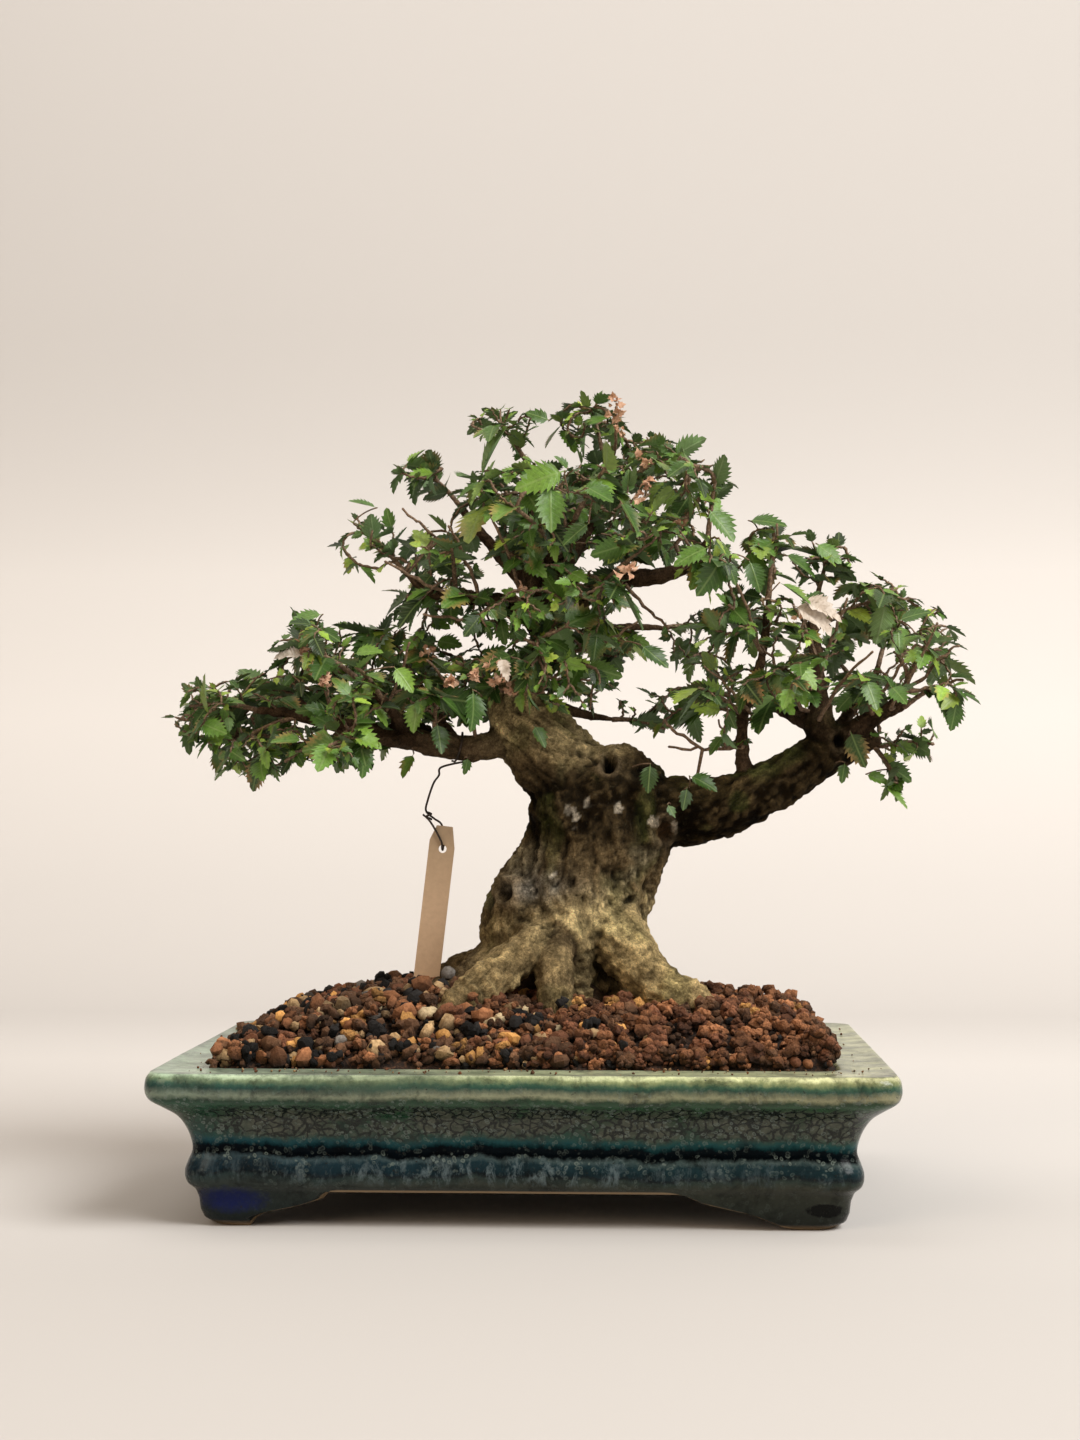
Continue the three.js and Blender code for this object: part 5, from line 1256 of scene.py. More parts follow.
def in_clouds(points, margin):
    """Whether points appear inside one of the clouds of foliage, made larger by margin in millimetres."""
    seen = seen_from_front(points)
    offset = (seen[:, None] - CLUMPS[None, :, :2]) / (CLUMPS[None, :, 2:4] + margin)
    return ((offset ** 2).sum(2) < 1).any(1)


def tip_places(random):
    """Ends for the twigs: places by chance in every cloud of foliage, an ellipsoid seen along the line of
    sight, each no nearer to those before it than the cloud's spacing."""
    found = np.empty((0, 3))
    for x, z, half_x, half_z, front, back, spacing in CLUMPS:
        tries = unit(random.normal(size=(900, 3))) * random.uniform(size=(900, 1)) ** (1 / 3)
        y = (front + back) / 2 + tries[:, 1] * ((back - front) / 2 + 6)
        spots = on_sight(x + tries[:, 0] * (half_x - 4), z + tries[:, 2] * (half_z - 4), y)
        for spot in spots:
            if not len(found) or (((found - spot) ** 2).sum(1) > (CROWDING * spacing) ** 2).all():
                found = np.vstack([found, spot])
    return found


def bezier(start, middle, end, share):
    """Points of curves that leave start towards middle and arrive at end, all at the same shares."""
    share = share[None, :, None]
    start, middle, end = start[:, None], middle[:, None], end[:, None]
    return start * (1 - share) ** 2 + 2 * middle * share * (1 - share) + end * share ** 2


def grow_twigs(random, shoots, ends):
    """Joins every end to the wood by a short curved twig, nearest first: each end takes the perch with the
    least distance, counted longer where it would have to turn back, and the new twig then offers perches
    itself. Returns starts, middles and ends, with how many ends hang on each twig."""
    perches, headings = [], []
    for path in LIMBS.values():
        line = sampled(path, 8 * len(path))
        thin = line[:, 3] < THICKEST_PERCH
        perches.append(line[thin, :3])
        headings.append(unit(np.gradient(line[:, :3], axis=0))[thin])
    shares = np.linspace(0.15, 1, 9)
    lines = bezier(*shoots, shares)
    perches.append(lines.reshape(-1, 3))
    headings.append(unit(np.gradient(lines, axis=1)).reshape(-1, 3))
    perch, heading = np.vstack(perches), np.vstack(headings)
    owner = np.full(len(perch), -1)

    def cost(spots, ways, target):
        step = target[:, None] - spots[None]
        far = np.linalg.norm(step, axis=2)
        forward = (step * ways[None]).sum(2) / np.maximum(far, 1e-6)
        return far * (1.5 - 0.5 * forward) + 12 * (far < 4)

    waiting = np.arange(len(ends))
    table = cost(perch, heading, ends)
    best, price = table.argmin(1), table.min(1)
    starts, middles, chosen, parents = [], [], [], []
    while len(waiting):
        k = waiting[price[waiting].argmin()]
        waiting = waiting[waiting != k]
        start, end, way = perch[best[k]], ends[k], heading[best[k]]
        length = np.linalg.norm(end - start)
        aim = unit(0.7 * way + 0.9 * (end - start) / length + [0, 0, 0.25] + 0.25 * random.normal(size=3))
        middle = start + aim * length * 0.5
        starts.append(start)
        middles.append(middle)
        chosen.append(end)
        parents.append(owner[best[k]])
        line = bezier(start[None], middle[None], end[None], np.array([0.4, 0.6, 0.8, 0.97]))[0]
        ways = unit(np.gradient(line, axis=0))
        fresh = cost(line, ways, ends)
        better = fresh.min(1) < price
        best[better] = fresh.argmin(1)[better] + len(perch)
        price[better] = fresh.min(1)[better]
        perch, heading = np.vstack([perch, line]), np.vstack([heading, ways])
        owner = np.concatenate([owner, np.full(4, len(starts) - 1)])
    load = np.ones(len(starts))
    for k in range(len(starts) - 1, -1, -1):
        if parents[k] >= 0:
            load[parents[k]] += load[k]
    return np.array(starts), np.array(middles), np.array(chosen), load


def twig_piece(name, lines, radii, sides):
    """A piece of tubes in twig bark."""
    points, quads, caps = tubes(lines, radii, sides)
    return make_piece(name, in_row(points), [quads, caps], [twig_skin])


random = np.random.default_rng(TWIG_SEED)
shoot_starts = np.array([through(LIMBS[limb], share * (len(LIMBS[limb]) - 1))[0, :3]
                         for limb, share, end in SHOOTS.values()])
shoot_ends = np.array([end for limb, share, end in SHOOTS.values()], float)
shoot_middles = (shoot_starts + shoot_ends) / 2
shoot_middles[:, 2] += SHOOT_BOW * np.linalg.norm(shoot_ends - shoot_starts, axis=1)
shoots = (shoot_starts, shoot_middles, shoot_ends)
tips = tip_places(random)
twig_starts, twig_middles, twig_ends, twig_load = grow_twigs(random, shoots, tips)
shares = np.linspace(0, 1, TWIG_RINGS)
twig_lines = bezier(twig_starts, twig_middles, twig_ends, shares)
twig_length = np.linalg.norm(twig_ends - twig_starts, axis=1)
kink = unit(np.cross(twig_ends - twig_starts, random.normal(size=twig_ends.shape)))
zigzag = np.where(np.arange(TWIG_RINGS) % 2, 1, -1) * (np.arange(TWIG_RINGS) > 0)
twig_lines += kink[:, None] * (zigzag[:, None] * np.clip(twig_length, 4, 16)[:, None, None] * TWIG_KINK)
twig_radii = TWIG_THINNEST + (0.32 * twig_load ** 0.42)[:, None] * (1 - 0.72 * shares)
twig_radii *= 1 + TWIG_NODE * (np.arange(TWIG_RINGS) % 2)
twig_radii[:, -1] *= 0.7
shoot_shares = np.linspace(0, 1, SHOOT_RINGS)
shoot_lines = bezier(*shoots, shoot_shares)
shoot_radii = np.broadcast_to(np.interp(shoot_shares, [0, 1], SHOOT_RADII), shoot_lines.shape[:2])
shoot_radii = shoot_radii * (1 + SHOOT_NODE * (np.arange(SHOOT_RINGS) % 2))
twig_skin = grained_material("twig_bark", (700, 4, 0.65), [
    [0.3, (0.050, 0.030, 0.018)], [0.5, (0.14, 0.085, 0.048)], [0.72, (0.34, 0.225, 0.135)]],
    (0.6, 0.0006), Roughness=0.75)
for name, lines, radii, sides in (
        ("twigs", twig_lines, twig_radii, 4), ("shoots", shoot_lines, shoot_radii, 7)):
    piece = twig_piece(name, lines, radii, sides)
    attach(piece, "root")

# Leaves: small and ovate with a saw-toothed edge, in two ranks along every twig, each a closed blade that
# thins to its edge, folded a little along the midrib, with a pale underside where the rib stands out.
BIG_BLADE = np.array([
    [-0.13, 0.030], [0.0, 0.045], [0.07, 0.50], [0.17, 0.90], [0.14, 0.58], [0.30, 1.08], [0.26, 0.74],
    [0.44, 1.13], [0.40, 0.78], [0.57, 1.05], [0.53, 0.70], [0.70, 0.90], [0.66, 0.57], [0.82, 0.66],
    [0.785, 0.38], [0.91, 0.34], [1.0, 0.0],
])
MIDDLE_BLADE = np.array([
    [-0.14, 0.035], [0.0, 0.05], [0.12, 0.68], [0.26, 1.0], [0.23, 0.72], [0.47, 1.10], [0.43, 0.76],
    [0.68, 0.88], [0.64, 0.54], [0.86, 0.42], [1.0, 0.0],
])
SMALL_BLADE = np.array([
    [-0.15, 0.05], [0.0, 0.06], [0.17, 0.72], [0.42, 1.08], [0.38, 0.78], [0.70, 0.78], [0.66, 0.48],
    [1.0, 0.0],
])
VEIN_SLANT = 0.16
# The leaves that stand out in the front view: x and z of the base in the plane through the pot's middle,
# depth, length, heading in degrees up from the right, and age.
CHOSEN_LEAVES = np.array([
    [75.7, 214, -36, 8, -60, 0.25], [86, 223, -32, 12, -100, 0.05], [65.6, 236, -34, 15, -95, 0.04],
    [89, 230, -30, 16, -22, 0.18], [1, 258, -32, 13, -60, 0.25], [178, 253.6, -24, 20, -70, 0.1],
    [187, 231, -16, 13, -22, 0.5], [196, 226, -16, 19, -44, 0.55], [174, 237, -20, 11, -100, 0.2],
    [-37, 240, -20, 9, -100, 0.3], [-68, 242, -22, 14, -116, 0.6], [-34, 277, -64, 21, -85, 0.2],
    [-54, 259, -58, 16, -80, 0.1], [9.5, 392, -76, 24, -88, 0.4], [15, 402, -74, 26, 200, 0.55],
    [100, 379, -60, 21, -50, 0.35], [97, 358.5, -64, 20, 205, 0.45], [106, 353, -62, 25, -120, 0.22],
    [123, 374, -20, 20, -4, 0.25], [160, 360, -10, 17, -40, 0.45], [224, 279, -38, 21, -60, 0.3],
    [-57, 402, 28, 16, 186, 0.62], [-90, 383, -42, 15, 165, 0.3], [-121, 322, -42, 18, 188, 0.42],
    [-118.5, 257, -64, 21, -100, 0.55], [-104, 255, -64, 20, -20, 0.68], [-132, 251, -54, 16, 182, 0.45],
    [-77.5, 291, -62, 16, -50, 0.62], [-100, 300, -50, 15, 10, 0.55], [-84, 278, -66, 16, 150, 0.5],
    [50, 384, -78, 19, -60, 0.2], [30, 372, -78, 17, -140, 0.15], [62, 303, -60, 18, -40, 0.12],
    [34, 310, -64, 20, -20, 0.1], [40, 428, 12, 15, 15, 0.35], [8, 432, -20, 13, 160, 0.25],
    [140, 338, -58, 19, -35, 0.5], [122, 350, -52, 17, -70, 0.2], [206, 318, -30, 17, 20, 0.25],
])
# Bare twigs that stand clear of the leaves: x, z and depth of the start and the end, and their thicknesses.
BARE_TWIGS = np.array([
    [116.7, 246, -12, 76, 247, -14, 1.2, 0.6], [95, 246, -13, 73.5, 262, -16, 0.9, 0.8],
    [107, 246, -12, 104, 262, -16, 0.9, 0.5], [205, 277, -28, 240, 284, -34, 1.3, 0.7],
    [217, 284, -30, 238, 303, -36, 1.0, 0.6], [190, 270, -20, 214, 304, -34, 1.2, 0.6],
    [-55, 366, -24, -74, 382, -32, 0.9, 0.6], [-70, 351, -28, -92, 362, -40, 1.0, 0.5],
    [131, 330, -22, 137, 372, -26, 1.0, 0.6], [150, 268, -8, 128, 304, -30, 1.2, 0.6],
    [160, 285, -6, 176, 330, -20, 1.2, 0.6], [-20, 318, -30, -62, 322, -48, 1.2, 0.6],
    [-34, 262, -20, -60, 296, -50, 1.1, 0.6], [20, 300, -20, 60, 318, -40, 1.2, 0.6],
    [124, 262, -16, 96, 292, -34, 1.1, 0.5], [-112, 262, -26, -128, 300, -40, 1.0, 0.6],
    [-86, 262, -30, -70, 306, -50, 1.0, 0.6], [-40, 329, -30, -84, 352, -52, 1.3, 0.6],
    [-30, 329, -24, -48, 372, -46, 1.2, 0.6], [-6, 330, -20, -24, 380, -60, 1.2, 0.6],
    [30, 332, -20, 70, 366, -62, 1.2, 0.6], [128, 300, -30, 112, 344, -60, 1.1, 0.6],
    [200, 268, -24, 226, 316, -50, 1.1, 0.6], [44, 404, 26, 47, 439, -8, 1.0, 0.7],
    [52, 338, -20, 76, 314, -44, 1.1, 0.6], [160, 262, -12, 190, 300, -56, 1.2, 0.6],
])
BLADE_WIDTH = 0.335
SMALL_BELOW = 8.5
BIG_FROM = 14.5
BLADE_EDGE_ANGLE = 1.2
RIB_DEPTH = 0.022
LEAF_GAP = 5.2
MOST_ON_TWIG = 7
FIRST_ON_TWIG = 0.3
FIRST_ON_SHOOT = 0.34
SHOOT_LEAF_SIZES = (12.0, 15.0, 18.0)
CLOUD_MARGIN = 5
STALK_RADIUS = 0.42
STALK_RINGS = 6
BARE_RINGS = 12
BARE_NODE = 0.22
CHOSEN_CHANCE = 0.55
BARE_SHARES = (0.13, 0.24)
WOOD_STEP = 9
LEAF_GROUPS = {
    "left": (-1e3, -45, 0, 335), "crown": (-1e3, 1e3, 335, 1e3), "right": (78, 1e3, 0, 335),
    "middle": (-45, 78, 0, 335),
}


def leaf_blades(outline, base, along, facing, length, bend, fold, wave):
    """Leaf blades as grids of four points a station: left edge, rib above, right edge, rib below. A station's
    place is its share of the length along, its width share out to the side, and a height made of a fold that
    climbs with the width, a droop that grows with the square of the share, and a wave along the edge. Each
    station leaves the rib as a vein does, nearer the base than where it ends, so that no tooth folds over."""
    side = np.cross(along, facing)
    leaving = np.maximum(outline[:, 0] - VEIN_SLANT * outline[:, 1], 0.004)
    rib = np.where(outline[:, 0] > 0, leaving, outline[:, 0])
    count, stations = len(base), len(outline)
    share = np.stack([outline[:, 0], rib, outline[:, 0], rib], 1)
    width = np.stack([-outline[:, 1], np.zeros(stations), outline[:, 1], np.zeros(stations)], 1)
    arch = np.sin(np.pi * np.clip(rib, 0.06, 0.985))[:, None]
    under = np.array([0, 0.2, 0, -0.8]) * RIB_DEPTH * arch
    share, width = share[None], width[None]
    length, bend, fold, wave = (values[:, None, None] for values in (length, bend, fold, wave))
    half = BLADE_WIDTH * length
    rise = (fold * np.abs(width) * half - bend * np.clip(share, 0, 1) ** 2 * length
            + wave * half * np.abs(width) * np.sin(9 * share + 3 * width))
    rise = rise + under[None] * length
    reach = (share - 0.12 * bend * np.clip(share, 0, 1) ** 3) * length
    points = (base[:, None, None] + reach[..., None] * along[:, None, None]
              + (width * half)[..., None] * side[:, None, None] + rise[..., None] * facing[:, None, None])
    ring = grid_faces(stations - 1, 4)
    tip = 4 * (stations - 1)
    last = 4 * (stations - 2)
    caps = np.array([[last, last + 1, tip], [last + 1, last + 2, tip],
                     [last + 2, last + 3, tip], [last + 3, last, tip]])
    points = np.concatenate([points[:, :-1].reshape(count, -1, 3), points[:, -1, 1:2]], 1)
    blade = np.stack(np.broadcast_arrays(width, share, 0 * share), -1)[0]
    blade = np.vstack([blade[:-1].reshape(-1, 3), [[0, 1, 0]]])
    first = np.arange(count)[:, None, None] * (tip + 1)
    quads = np.vstack([ring, [[3, 2, 1, 0]]])
    under_quad = np.concatenate([np.tile([0, 0, 1, 1], stations - 2), [1]])
    return (points.reshape(-1, 3), (quads[None] + first).reshape(-1, 4), (caps[None] + first).reshape(-1, 3),
            np.tile(blade, (count, 1)), np.tile(under_quad, count), np.tile([0, 0, 1, 1], count), tip + 1)


def leaf_material(name, top):
    """Leaf skin: colour from the leaf's age and its own chance, paler along the midrib and the side veins
    that run forward to the teeth, mottled between them, with a soft shine above and a matt bloom below."""
    made, tree, shader, place = new_material(name, Roughness=0.42 if top else 0.66)
    shader.inputs["Specular IOR Level"].default_value = 0.42
    leaf = add_node(tree, "SeparateColor", {"Color": attribute(tree, "leaf")})
    age, chance, burn = (leaf.outputs[key] for key in ("Red", "Green", "Blue"))
    spot = add_node(tree, "SeparateXYZ", {"Vector": attribute(tree, "blade", "Vector")}).outputs
    across, along = maths(tree, "ABSOLUTE", spot["X"]), spot["Y"]
    colour = ramp(tree, age, [
        [0.0, (0.014, 0.036, 0.004)], [0.22, (0.034, 0.088, 0.010)], [0.45, (0.088, 0.185, 0.027)],
        [0.68, (0.175, 0.310, 0.040)], [0.86, (0.250, 0.370, 0.048)], [1.0, (0.28, 0.37, 0.055)]])
    shade = ramp(tree, chance, [[0.0, (0.42, 0.48, 0.4)], [0.5, (0.93, 0.95, 0.86)], [1.0, (1.5, 1.42, 1.3)]])
    colour = blend(tree, 1.0, colour, shade, "MULTIPLY")
    mottle = noise(tree, place, 520, 4, 0.6)
    colour = blend(tree, 1.0, colour, ramp(tree, mottle, [[0.3, 0.72], [0.7, 1.25]]), "MULTIPLY")
    slant = maths(tree, "MULTIPLY_ADD", across, -0.28, along)
    vein = centred(tree, maths(tree, "FRACT", product(tree, slant, 9.0)))
    vein = ramp(tree, maths(tree, "ABSOLUTE", vein), [[0.0, 1.0], [0.04, 0.5], [0.10, 0.0]])
    rib = ramp(tree, across, [[0.0, 1.0], [0.05, 0.75], [0.10, 0.0]])
    lines = maths(tree, "MAXIMUM", product(tree, vein, 0.55), rib)
    pale = (0.22, 0.31, 0.10) if top else (0.26, 0.33, 0.15)
    colour = blend(tree, (lines, 0.42 if top else 0.55), colour, pale)
    if not top:
        colour = blend(tree, 0.55, colour, (0.155, 0.235, 0.115))
    burnt = ramp(tree, burn, [[0.72, 0.0], [0.95, 1.0]])
    corner = maths(tree, "MULTIPLY_ADD", mottle, 0.6, product(tree, across, along))
    corner = ramp(tree, corner, [[0.45, 0.0], [0.75, 1.0]])
    colour = blend(tree, (burnt, corner, 0.75), colour, (0.33, 0.19, 0.07))
    tree.links.new(colour, shader.inputs["Base Color"])
    relief(tree, shader, [[lines, 0.3 if top else 0.6, 0.0004], [mottle, 0.3, 0.0004]])
    return made


def joined(sets):
    """One array of points and one list of faces from several surfaces: points, quads and caps each."""
    shifts = np.cumsum([0] + [len(found[0]) for found in sets])
    faces = [found[k] + shift for k in (1, 2) for found, shift in zip(sets, shifts)]
    return np.vstack([found[0] for found in sets]), faces


def twig_leaves(random, lines, sizes, first_share):
    """Leaves along twigs: alternate left and right from the first share on, more on longer twigs, and one at
    the end. Returns base points, directions and lengths, and how far out on its twig each leaf sits."""
    length = np.linalg.norm(np.diff(lines, axis=1), axis=2).sum(1)
    wanted = np.clip((length / LEAF_GAP).astype(int) + 2, 2, MOST_ON_TWIG)
    rank = np.arange(MOST_ON_TWIG)[None]
    share = first_share + (0.985 - first_share) * rank / np.maximum(wanted[:, None] - 1, 1)
    used = rank < wanted[:, None]
    place = share * (lines.shape[1] - 1)
    low = np.clip(place.astype(int), 0, lines.shape[1] - 2)
    part = (place - low)[..., None]
    row = np.arange(len(lines))[:, None]
    base = lines[row, low] * (1 - part) + lines[row, low + 1] * part
    forward = unit(lines[row, low + 1] - lines[row, low])
    hand = np.where((rank + random.integers(0, 2, (len(lines), 1))) % 2, 1.0, -1.0)[..., None]
    side = unit(np.cross(forward, [0, 0, 1] + 0.35 * random.normal(size=forward.shape))) * hand
    last = (rank == wanted[:, None] - 1)[..., None]
    size = sizes[:, None] * random.uniform(0.62, 1.3, share.shape) * (0.72 + 0.4 * share)
    droop = -0.05 - 0.45 * np.clip(size / 26, 0, 1)[..., None]
    along = unit(np.where(last, 1.1, 0.55) * forward + np.where(last, 0.25, 0.85) * side
                 + 0.28 * random.normal(size=forward.shape) + droop * np.array([0, 0, 1]))
    return base[used], along[used], size[used], share[used]


def nearest_of(points, spots):
    """For each point the nearest of the spots."""
    return spots[np.linalg.norm(points[:, None] - spots[None], axis=2).argmin(1)]


CROWN_MIDDLES = np.array([[-105, -5, 250], [10, 5, 345], [165, 0, 262]])
LEAF_SIZES = np.array([5.4, 7.5, 9.7, 13, 16.5, 20, 24])
LEAF_SHARES = np.array([0.23, 0.26, 0.21, 0.15, 0.09, 0.045, 0.01])
twig_sizes = random.choice(LEAF_SIZES, len(twig_ends), p=LEAF_SHARES / LEAF_SHARES.sum())
base, along, length, share = twig_leaves(random, twig_lines, twig_sizes, FIRST_ON_TWIG)
shoot_sizes = random.choice(SHOOT_LEAF_SIZES, len(shoot_lines))
shoot_found = twig_leaves(random, shoot_lines, shoot_sizes, FIRST_ON_SHOOT)
base, along, length, share = (np.concatenate(pair) for pair in zip((base, along, length, share), shoot_found))
from_middle = unit(base - nearest_of(base, CROWN_MIDDLES))
facing = unit(np.array([0, 0, 0.80]) + 0.7 * from_middle + 0.42 * random.normal(size=base.shape))
side = unit(np.cross(along, facing))
facing = np.cross(side, along)
bare = random.uniform(size=len(base)) < np.where(base[:, 0] < 50, *BARE_SHARES)
inside = in_clouds(base + along * length[:, None], CLOUD_MARGIN) & ~bare
base, along, facing, length, share = (values[inside] for values in (base, along, facing, length, share))
chosen = len(CHOSEN_LEAVES)
chosen_base = on_sight(*CHOSEN_LEAVES[:, :3].T)
heading = np.radians(CHOSEN_LEAVES[:, 4])
chosen_along = unit(np.stack([np.cos(heading), np.full(chosen, -0.22), np.sin(heading)], -1))
toward = unit([0.1, -0.65, 0.7] + 0.35 * random.normal(size=(chosen, 3)))
chosen_facing = unit(toward - (toward * chosen_along).sum(1)[:, None] * chosen_along)
wood_near = skin[::WOOD_STEP]
perches = np.vstack([twig_lines.reshape(-1, 3), shoot_lines.reshape(-1, 3), wood_near])
perch = nearest_of(chosen_base, perches)
stalk_ends = chosen_base - 0.1 * CHOSEN_LEAVES[:, 3:4] * chosen_along
stalk_bows = (perch + chosen_base) / 2 + [0, 0, 2]
stalk_lines = bezier(perch, stalk_bows, stalk_ends, np.linspace(0, 1, STALK_RINGS))
stalks = twig_piece("stalks", stalk_lines, np.full((chosen, STALK_RINGS), STALK_RADIUS), 5)
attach(stalks, "root")
bare_start, bare_end = on_sight(*BARE_TWIGS[:, :3].T), on_sight(*BARE_TWIGS[:, 3:6].T)
rooted = nearest_of(bare_start, wood_near)
bow = (bare_start + bare_end) / 2 + 2.5 * random.normal(size=bare_start.shape)
bare_curve = bezier(bare_start, bow, bare_end, np.linspace(0, 1, BARE_RINGS - 1))
bare_lines = np.concatenate([rooted[:, None], bare_curve], 1)
bare_lines[:, 2:-1] += 0.5 * random.normal(size=(len(bow), BARE_RINGS - 3, 3))
thick, thin = BARE_TWIGS[:, 6:7], BARE_TWIGS[:, 7:8]
bare_radii = thick + (thin - thick) * np.linspace(0, 1, BARE_RINGS)
bare_radii = bare_radii * (1 + BARE_NODE * (np.arange(BARE_RINGS) % 2))
bare_twigs = twig_piece("bare_twigs", bare_lines, bare_radii, 7)
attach(bare_twigs, "root")
base, along, facing, length, share = (np.concatenate(pair) for pair in zip(
    (base, along, facing, length, share),
    (chosen_base, chosen_along, chosen_facing, CHOSEN_LEAVES[:, 3], np.ones(chosen))))
bend = random.uniform(0.02, 0.24, len(base))
fold = random.uniform(0.10, 0.42, len(base))
wave = random.uniform(0.01, 0.09, len(base))
height_share = smooth_step(base[:, 2], 240, 420)
outer = np.abs(base[:, 0] + 10) > 80
young = random.uniform(size=len(base)) < 0.10 + 0.10 * height_share + 0.12 * outer + 0.1 * (share > 0.9)
age = np.where(young, random.uniform(0.62, 1.0, len(base)), random.uniform(0.0, 0.58, len(base)))
age[-chosen:] = CHOSEN_LEAVES[:, 5]
tint = np.stack([age, random.uniform(size=len(base)), random.uniform(size=len(base)), np.ones(len(base))], -1)
tint[-chosen:, 1] = CHOSEN_CHANCE
leaf_tops, leaf_backs = leaf_material("leaf_top", True), leaf_material("leaf_back", False)
for group, (left, right, low, high) in LEAF_GROUPS.items():
    here = (base[:, 0] >= left) & (base[:, 0] < right) & (base[:, 2] >= low) & (base[:, 2] < high)
    sets = []
    for outline, kind in ((BIG_BLADE, length >= BIG_FROM), (SMALL_BLADE, length < SMALL_BELOW),
                          (MIDDLE_BLADE, (length >= SMALL_BELOW) & (length < BIG_FROM))):
        pick = here & kind
        blades = leaf_blades(
            outline, *(values[pick] for values in (base, along, facing, length, bend, fold, wave)))
        sets.append((*blades[:6], np.repeat(tint[pick], blades[6], 0)))
    points, faces = joined(sets)
    blade, leaf = (np.vstack([found[k] for found in sets]) for k in (3, 6))
    kinds = np.concatenate([found[k] for k in (4, 5) for found in sets])
    piece = make_piece("leaves_" + group, in_row(points), faces, [leaf_tops, leaf_backs],
                       attributes={"blade": blade, "leaf": leaf}, kinds=kinds)
    piece.data.set_sharp_from_angle(angle=BLADE_EDGE_ANGLE)
    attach(piece, "root")
    nodes = [name for name in SHOOTS if name.split("_")[0] == {"middle": "low"}.get(group, group)]
    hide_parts(*("spray_" + name for name in nodes))

# Dried flowers: papery tan and pink bracts in small bunches at the tips, left from spring.
BUNCHES = np.array([
    [46, 441, -8, 11, 4.4], [47.5, 434, -9, 9, 4.2], [50, 427, -10, 7, 3.6], [62, 408, -60, 9, 4.4],
    [64, 396, -64, 12, 4.8], [60, 388, -62, 8, 4.0], [-131, 301, -50, 14, 4.6], [-124, 292, -52, 10, 4.2],
    [-118, 285, -56, 12, 4.4], [-46, 284, -58, 12, 4.4], [-34, 287, -60, 12, 4.2], [-20, 284, -56, 12, 4.6],
    [-14, 279, -50, 10, 4.0], [53, 345, -72, 9, 4.8], [150, 321, -52, 5, 5.0],
    [-24, 295, -58, 5, 4.4], [-6, 336, -50, 10, 4.0], [84, 372, -40, 7, 3.6], [-60, 300, -30, 8, 3.8],
])
# Withered leaves: x, z, depth, length, direction and facing.
WITHERED = np.array([
    [148, 325, -60, 25, 0.85, -0.2, -0.45, 0.3, -0.8, 0.5],
    [153, 328, -58, 20, 0.9, -0.1, -0.3, -0.2, -0.7, 0.7],
    [-132, 299, -56, 15, -0.9, -0.2, 0.1, 0.1, -0.7, 0.7],
    [-18, 296, -66, 11, 0.3, -0.2, -0.8, 0, -0.8, 0.5],
])
BUNCH_SPREAD = 1.5
dry_skin = grained_material("dry_bract", (260, 4, 0.6), [
    [0.3, (0.30, 0.15, 0.085)], [0.5, (0.52, 0.30, 0.19)], [0.7, (0.66, 0.47, 0.33)]],
    (0.5, 0.0003), (900, 3, 0.6), Roughness=0.8)
withered = grained_material("withered_leaf", (300, 4, 0.6), [
    [0.3, (0.36, 0.29, 0.22)], [0.5, (0.52, 0.45, 0.38)], [0.7, (0.62, 0.56, 0.49)]],
    (0.6, 0.0006), (500, 3, 0.6), Roughness=0.85)
counts = BUNCHES[:, 3].astype(int)
row = np.repeat(np.arange(len(BUNCHES)), counts)
heart = on_sight(*BUNCHES[row, :3].T)
bract_along = unit(random.normal(size=heart.shape) + [0, 0, 0.3])
bract_facing = unit(np.cross(bract_along, random.normal(size=heart.shape)))
bract_length = BUNCHES[row, 4] * random.uniform(0.7, 1.3, len(row))
bract_base = heart + random.normal(size=heart.shape) * BUNCH_SPREAD
curls = [random.uniform(low, high, len(row)) for low, high in ((0.1, 0.6), (0.2, 0.9), (0.1, 0.4))]
bracts = leaf_blades(SMALL_BLADE * [1, 1.25], bract_base, bract_along, bract_facing, bract_length, *curls)
curled = leaf_blades(
    BIG_BLADE, on_sight(*WITHERED[:, :3].T), unit(WITHERED[:, 4:7]), unit(WITHERED[:, 7:10]),
    WITHERED[:, 3], *np.full((3, len(WITHERED)), [[0.35], [0.5], [0.25]]))
points, faces = joined([bracts, curled])
kinds = np.concatenate([
    0 * found[k] + number for k in (4, 5) for number, found in enumerate([bracts, curled])])
dry_flowers = make_piece("dry_flowers", in_row(points), faces, [dry_skin, withered],
                         kinds=kinds)
dry_flowers.data.set_sharp_from_angle(angle=BLADE_EDGE_ANGLE)
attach(dry_flowers, "root")

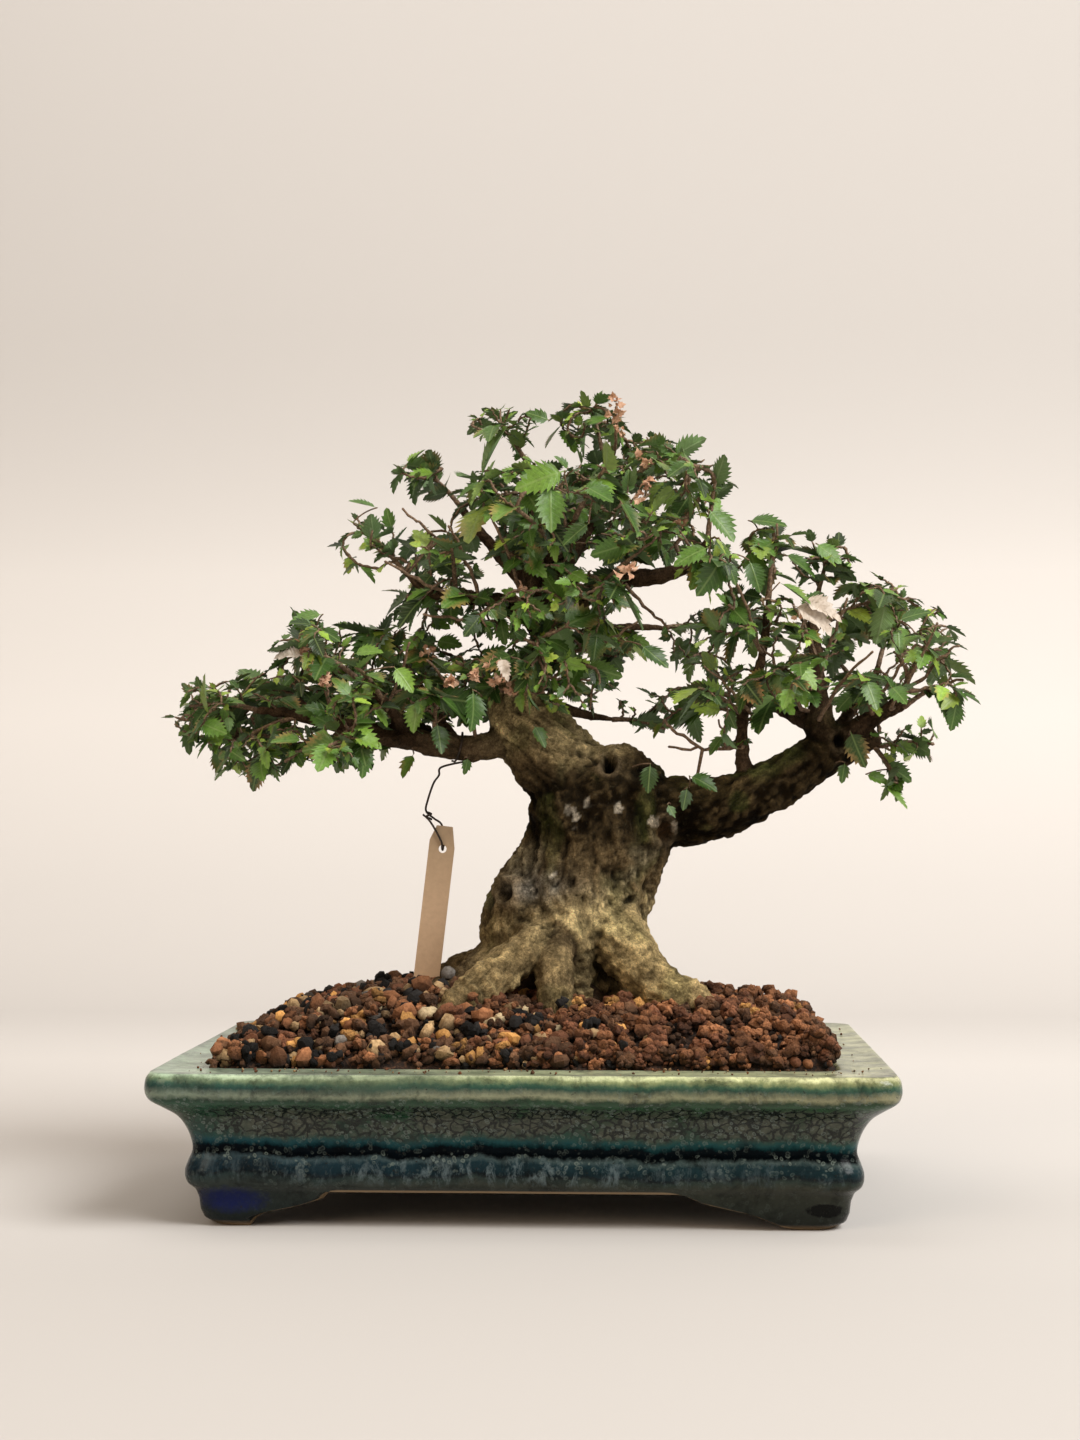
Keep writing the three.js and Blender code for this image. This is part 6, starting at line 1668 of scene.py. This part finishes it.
# Label: a plain strip of thin beige film, pushed into the soil and faded by weather.
film, tree, shader, place = new_material("label_film", Roughness=0.55)
axis = add_node(tree, "SeparateXYZ", {"Vector": place}).outputs
stain = noise(tree, place, 60, 5, 0.6)
level = maths(tree, "MULTIPLY_ADD", centred(tree, stain), 0.03, axis["Z"])
film_colour = ramp(tree, product(tree, level, 4.0), [
    [0.42, (0.495, 0.335, 0.207)], [0.60, (0.54, 0.375, 0.240)], [0.82, (0.465, 0.33, 0.205)]])
smudge = ramp(tree, noise(tree, place, 330, 5, 0.65), [[0.3, 0.93], [0.7, 1.06]])
tree.links.new(blend(tree, 1.0, film_colour, smudge, "MULTIPLY"), shader.inputs["Base Color"])
relief(tree, shader, [[noise(tree, place, 700, 3, 0.6), 0.2, 0.0002]])
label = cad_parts["plant_label"]
label.data.materials.clear()
label.data.materials.append(film)

# Wire: soft iron, a little thicker than a millimetre, threaded through the label's hole, knotted over
# its top edge and wound round the left limb.
WIRE_RADIUS = 0.6
WIRE_SIDES = 8
WIRE_RINGS = 240
WIRE_ROUTE = np.array([
    [-62.5, 4.5, 209], [-59, 6.2, 205.5], [-55.4, 7.8, 199.5], [-52.4, 8, 193.5], [-52.1, 8.6, 190.1],
    [-51.9, 10, 188.9], [-51.7, 11.4, 190.1], [-51.4, 12, 193.5], [-52.5, 11.9, 203],
    [-56.8, 9.5, 206.8], [-61, 6.6, 211], [-59.5, 2, 217.5], [-56, -2, 226.5], [-52.6, -6, 231],
    [-50.6, -11, 235.5], [-35.6, -16.8, 238.7], [-37.8, -11.3, 237.8], [-39.5, -6.6, 240.9],
    [-40.1, -4.9, 246.6], [-39.7, -7.3, 252], [-38.9, -12.6, 254.6], [-38.4, -18.3, 253],
    [-38.8, -21.7, 248.1], [-40.3, -21.1, 242.4], [-42.5, -17, 238.7], [-44.7, -11.5, 238.9],
])
KNOT_MIDDLE = (-59.6, 7, 208.4)
KNOT_RADIUS = 1.5
KNOT_WINDING = 9
KNOT_RINGS = 60
iron = grained_material(
    "dark_iron", (500, 4, 0.6), [[0.35, (0.022, 0.019, 0.017)], [0.7, (0.075, 0.05, 0.035)]],
    (0.4, 0.0002), Roughness=0.45, Metallic=0.7)
turn = np.linspace(0, KNOT_WINDING, KNOT_RINGS)
knot = np.stack([KNOT_RADIUS * np.cos(turn), KNOT_RADIUS * np.sin(turn), (turn / 0.75 - 6) * 0.36], -1)
strand = sampled(WIRE_ROUTE, WIRE_RINGS)
points, faces = joined([tubes(line[None], np.full((1, len(line)), WIRE_RADIUS), WIRE_SIDES)
                        for line in (strand, knot + KNOT_MIDDLE)])
label_tie = make_piece("label_tie", in_row(points), faces, [iron])
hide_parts("label_wire")
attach(label_tie, "root")
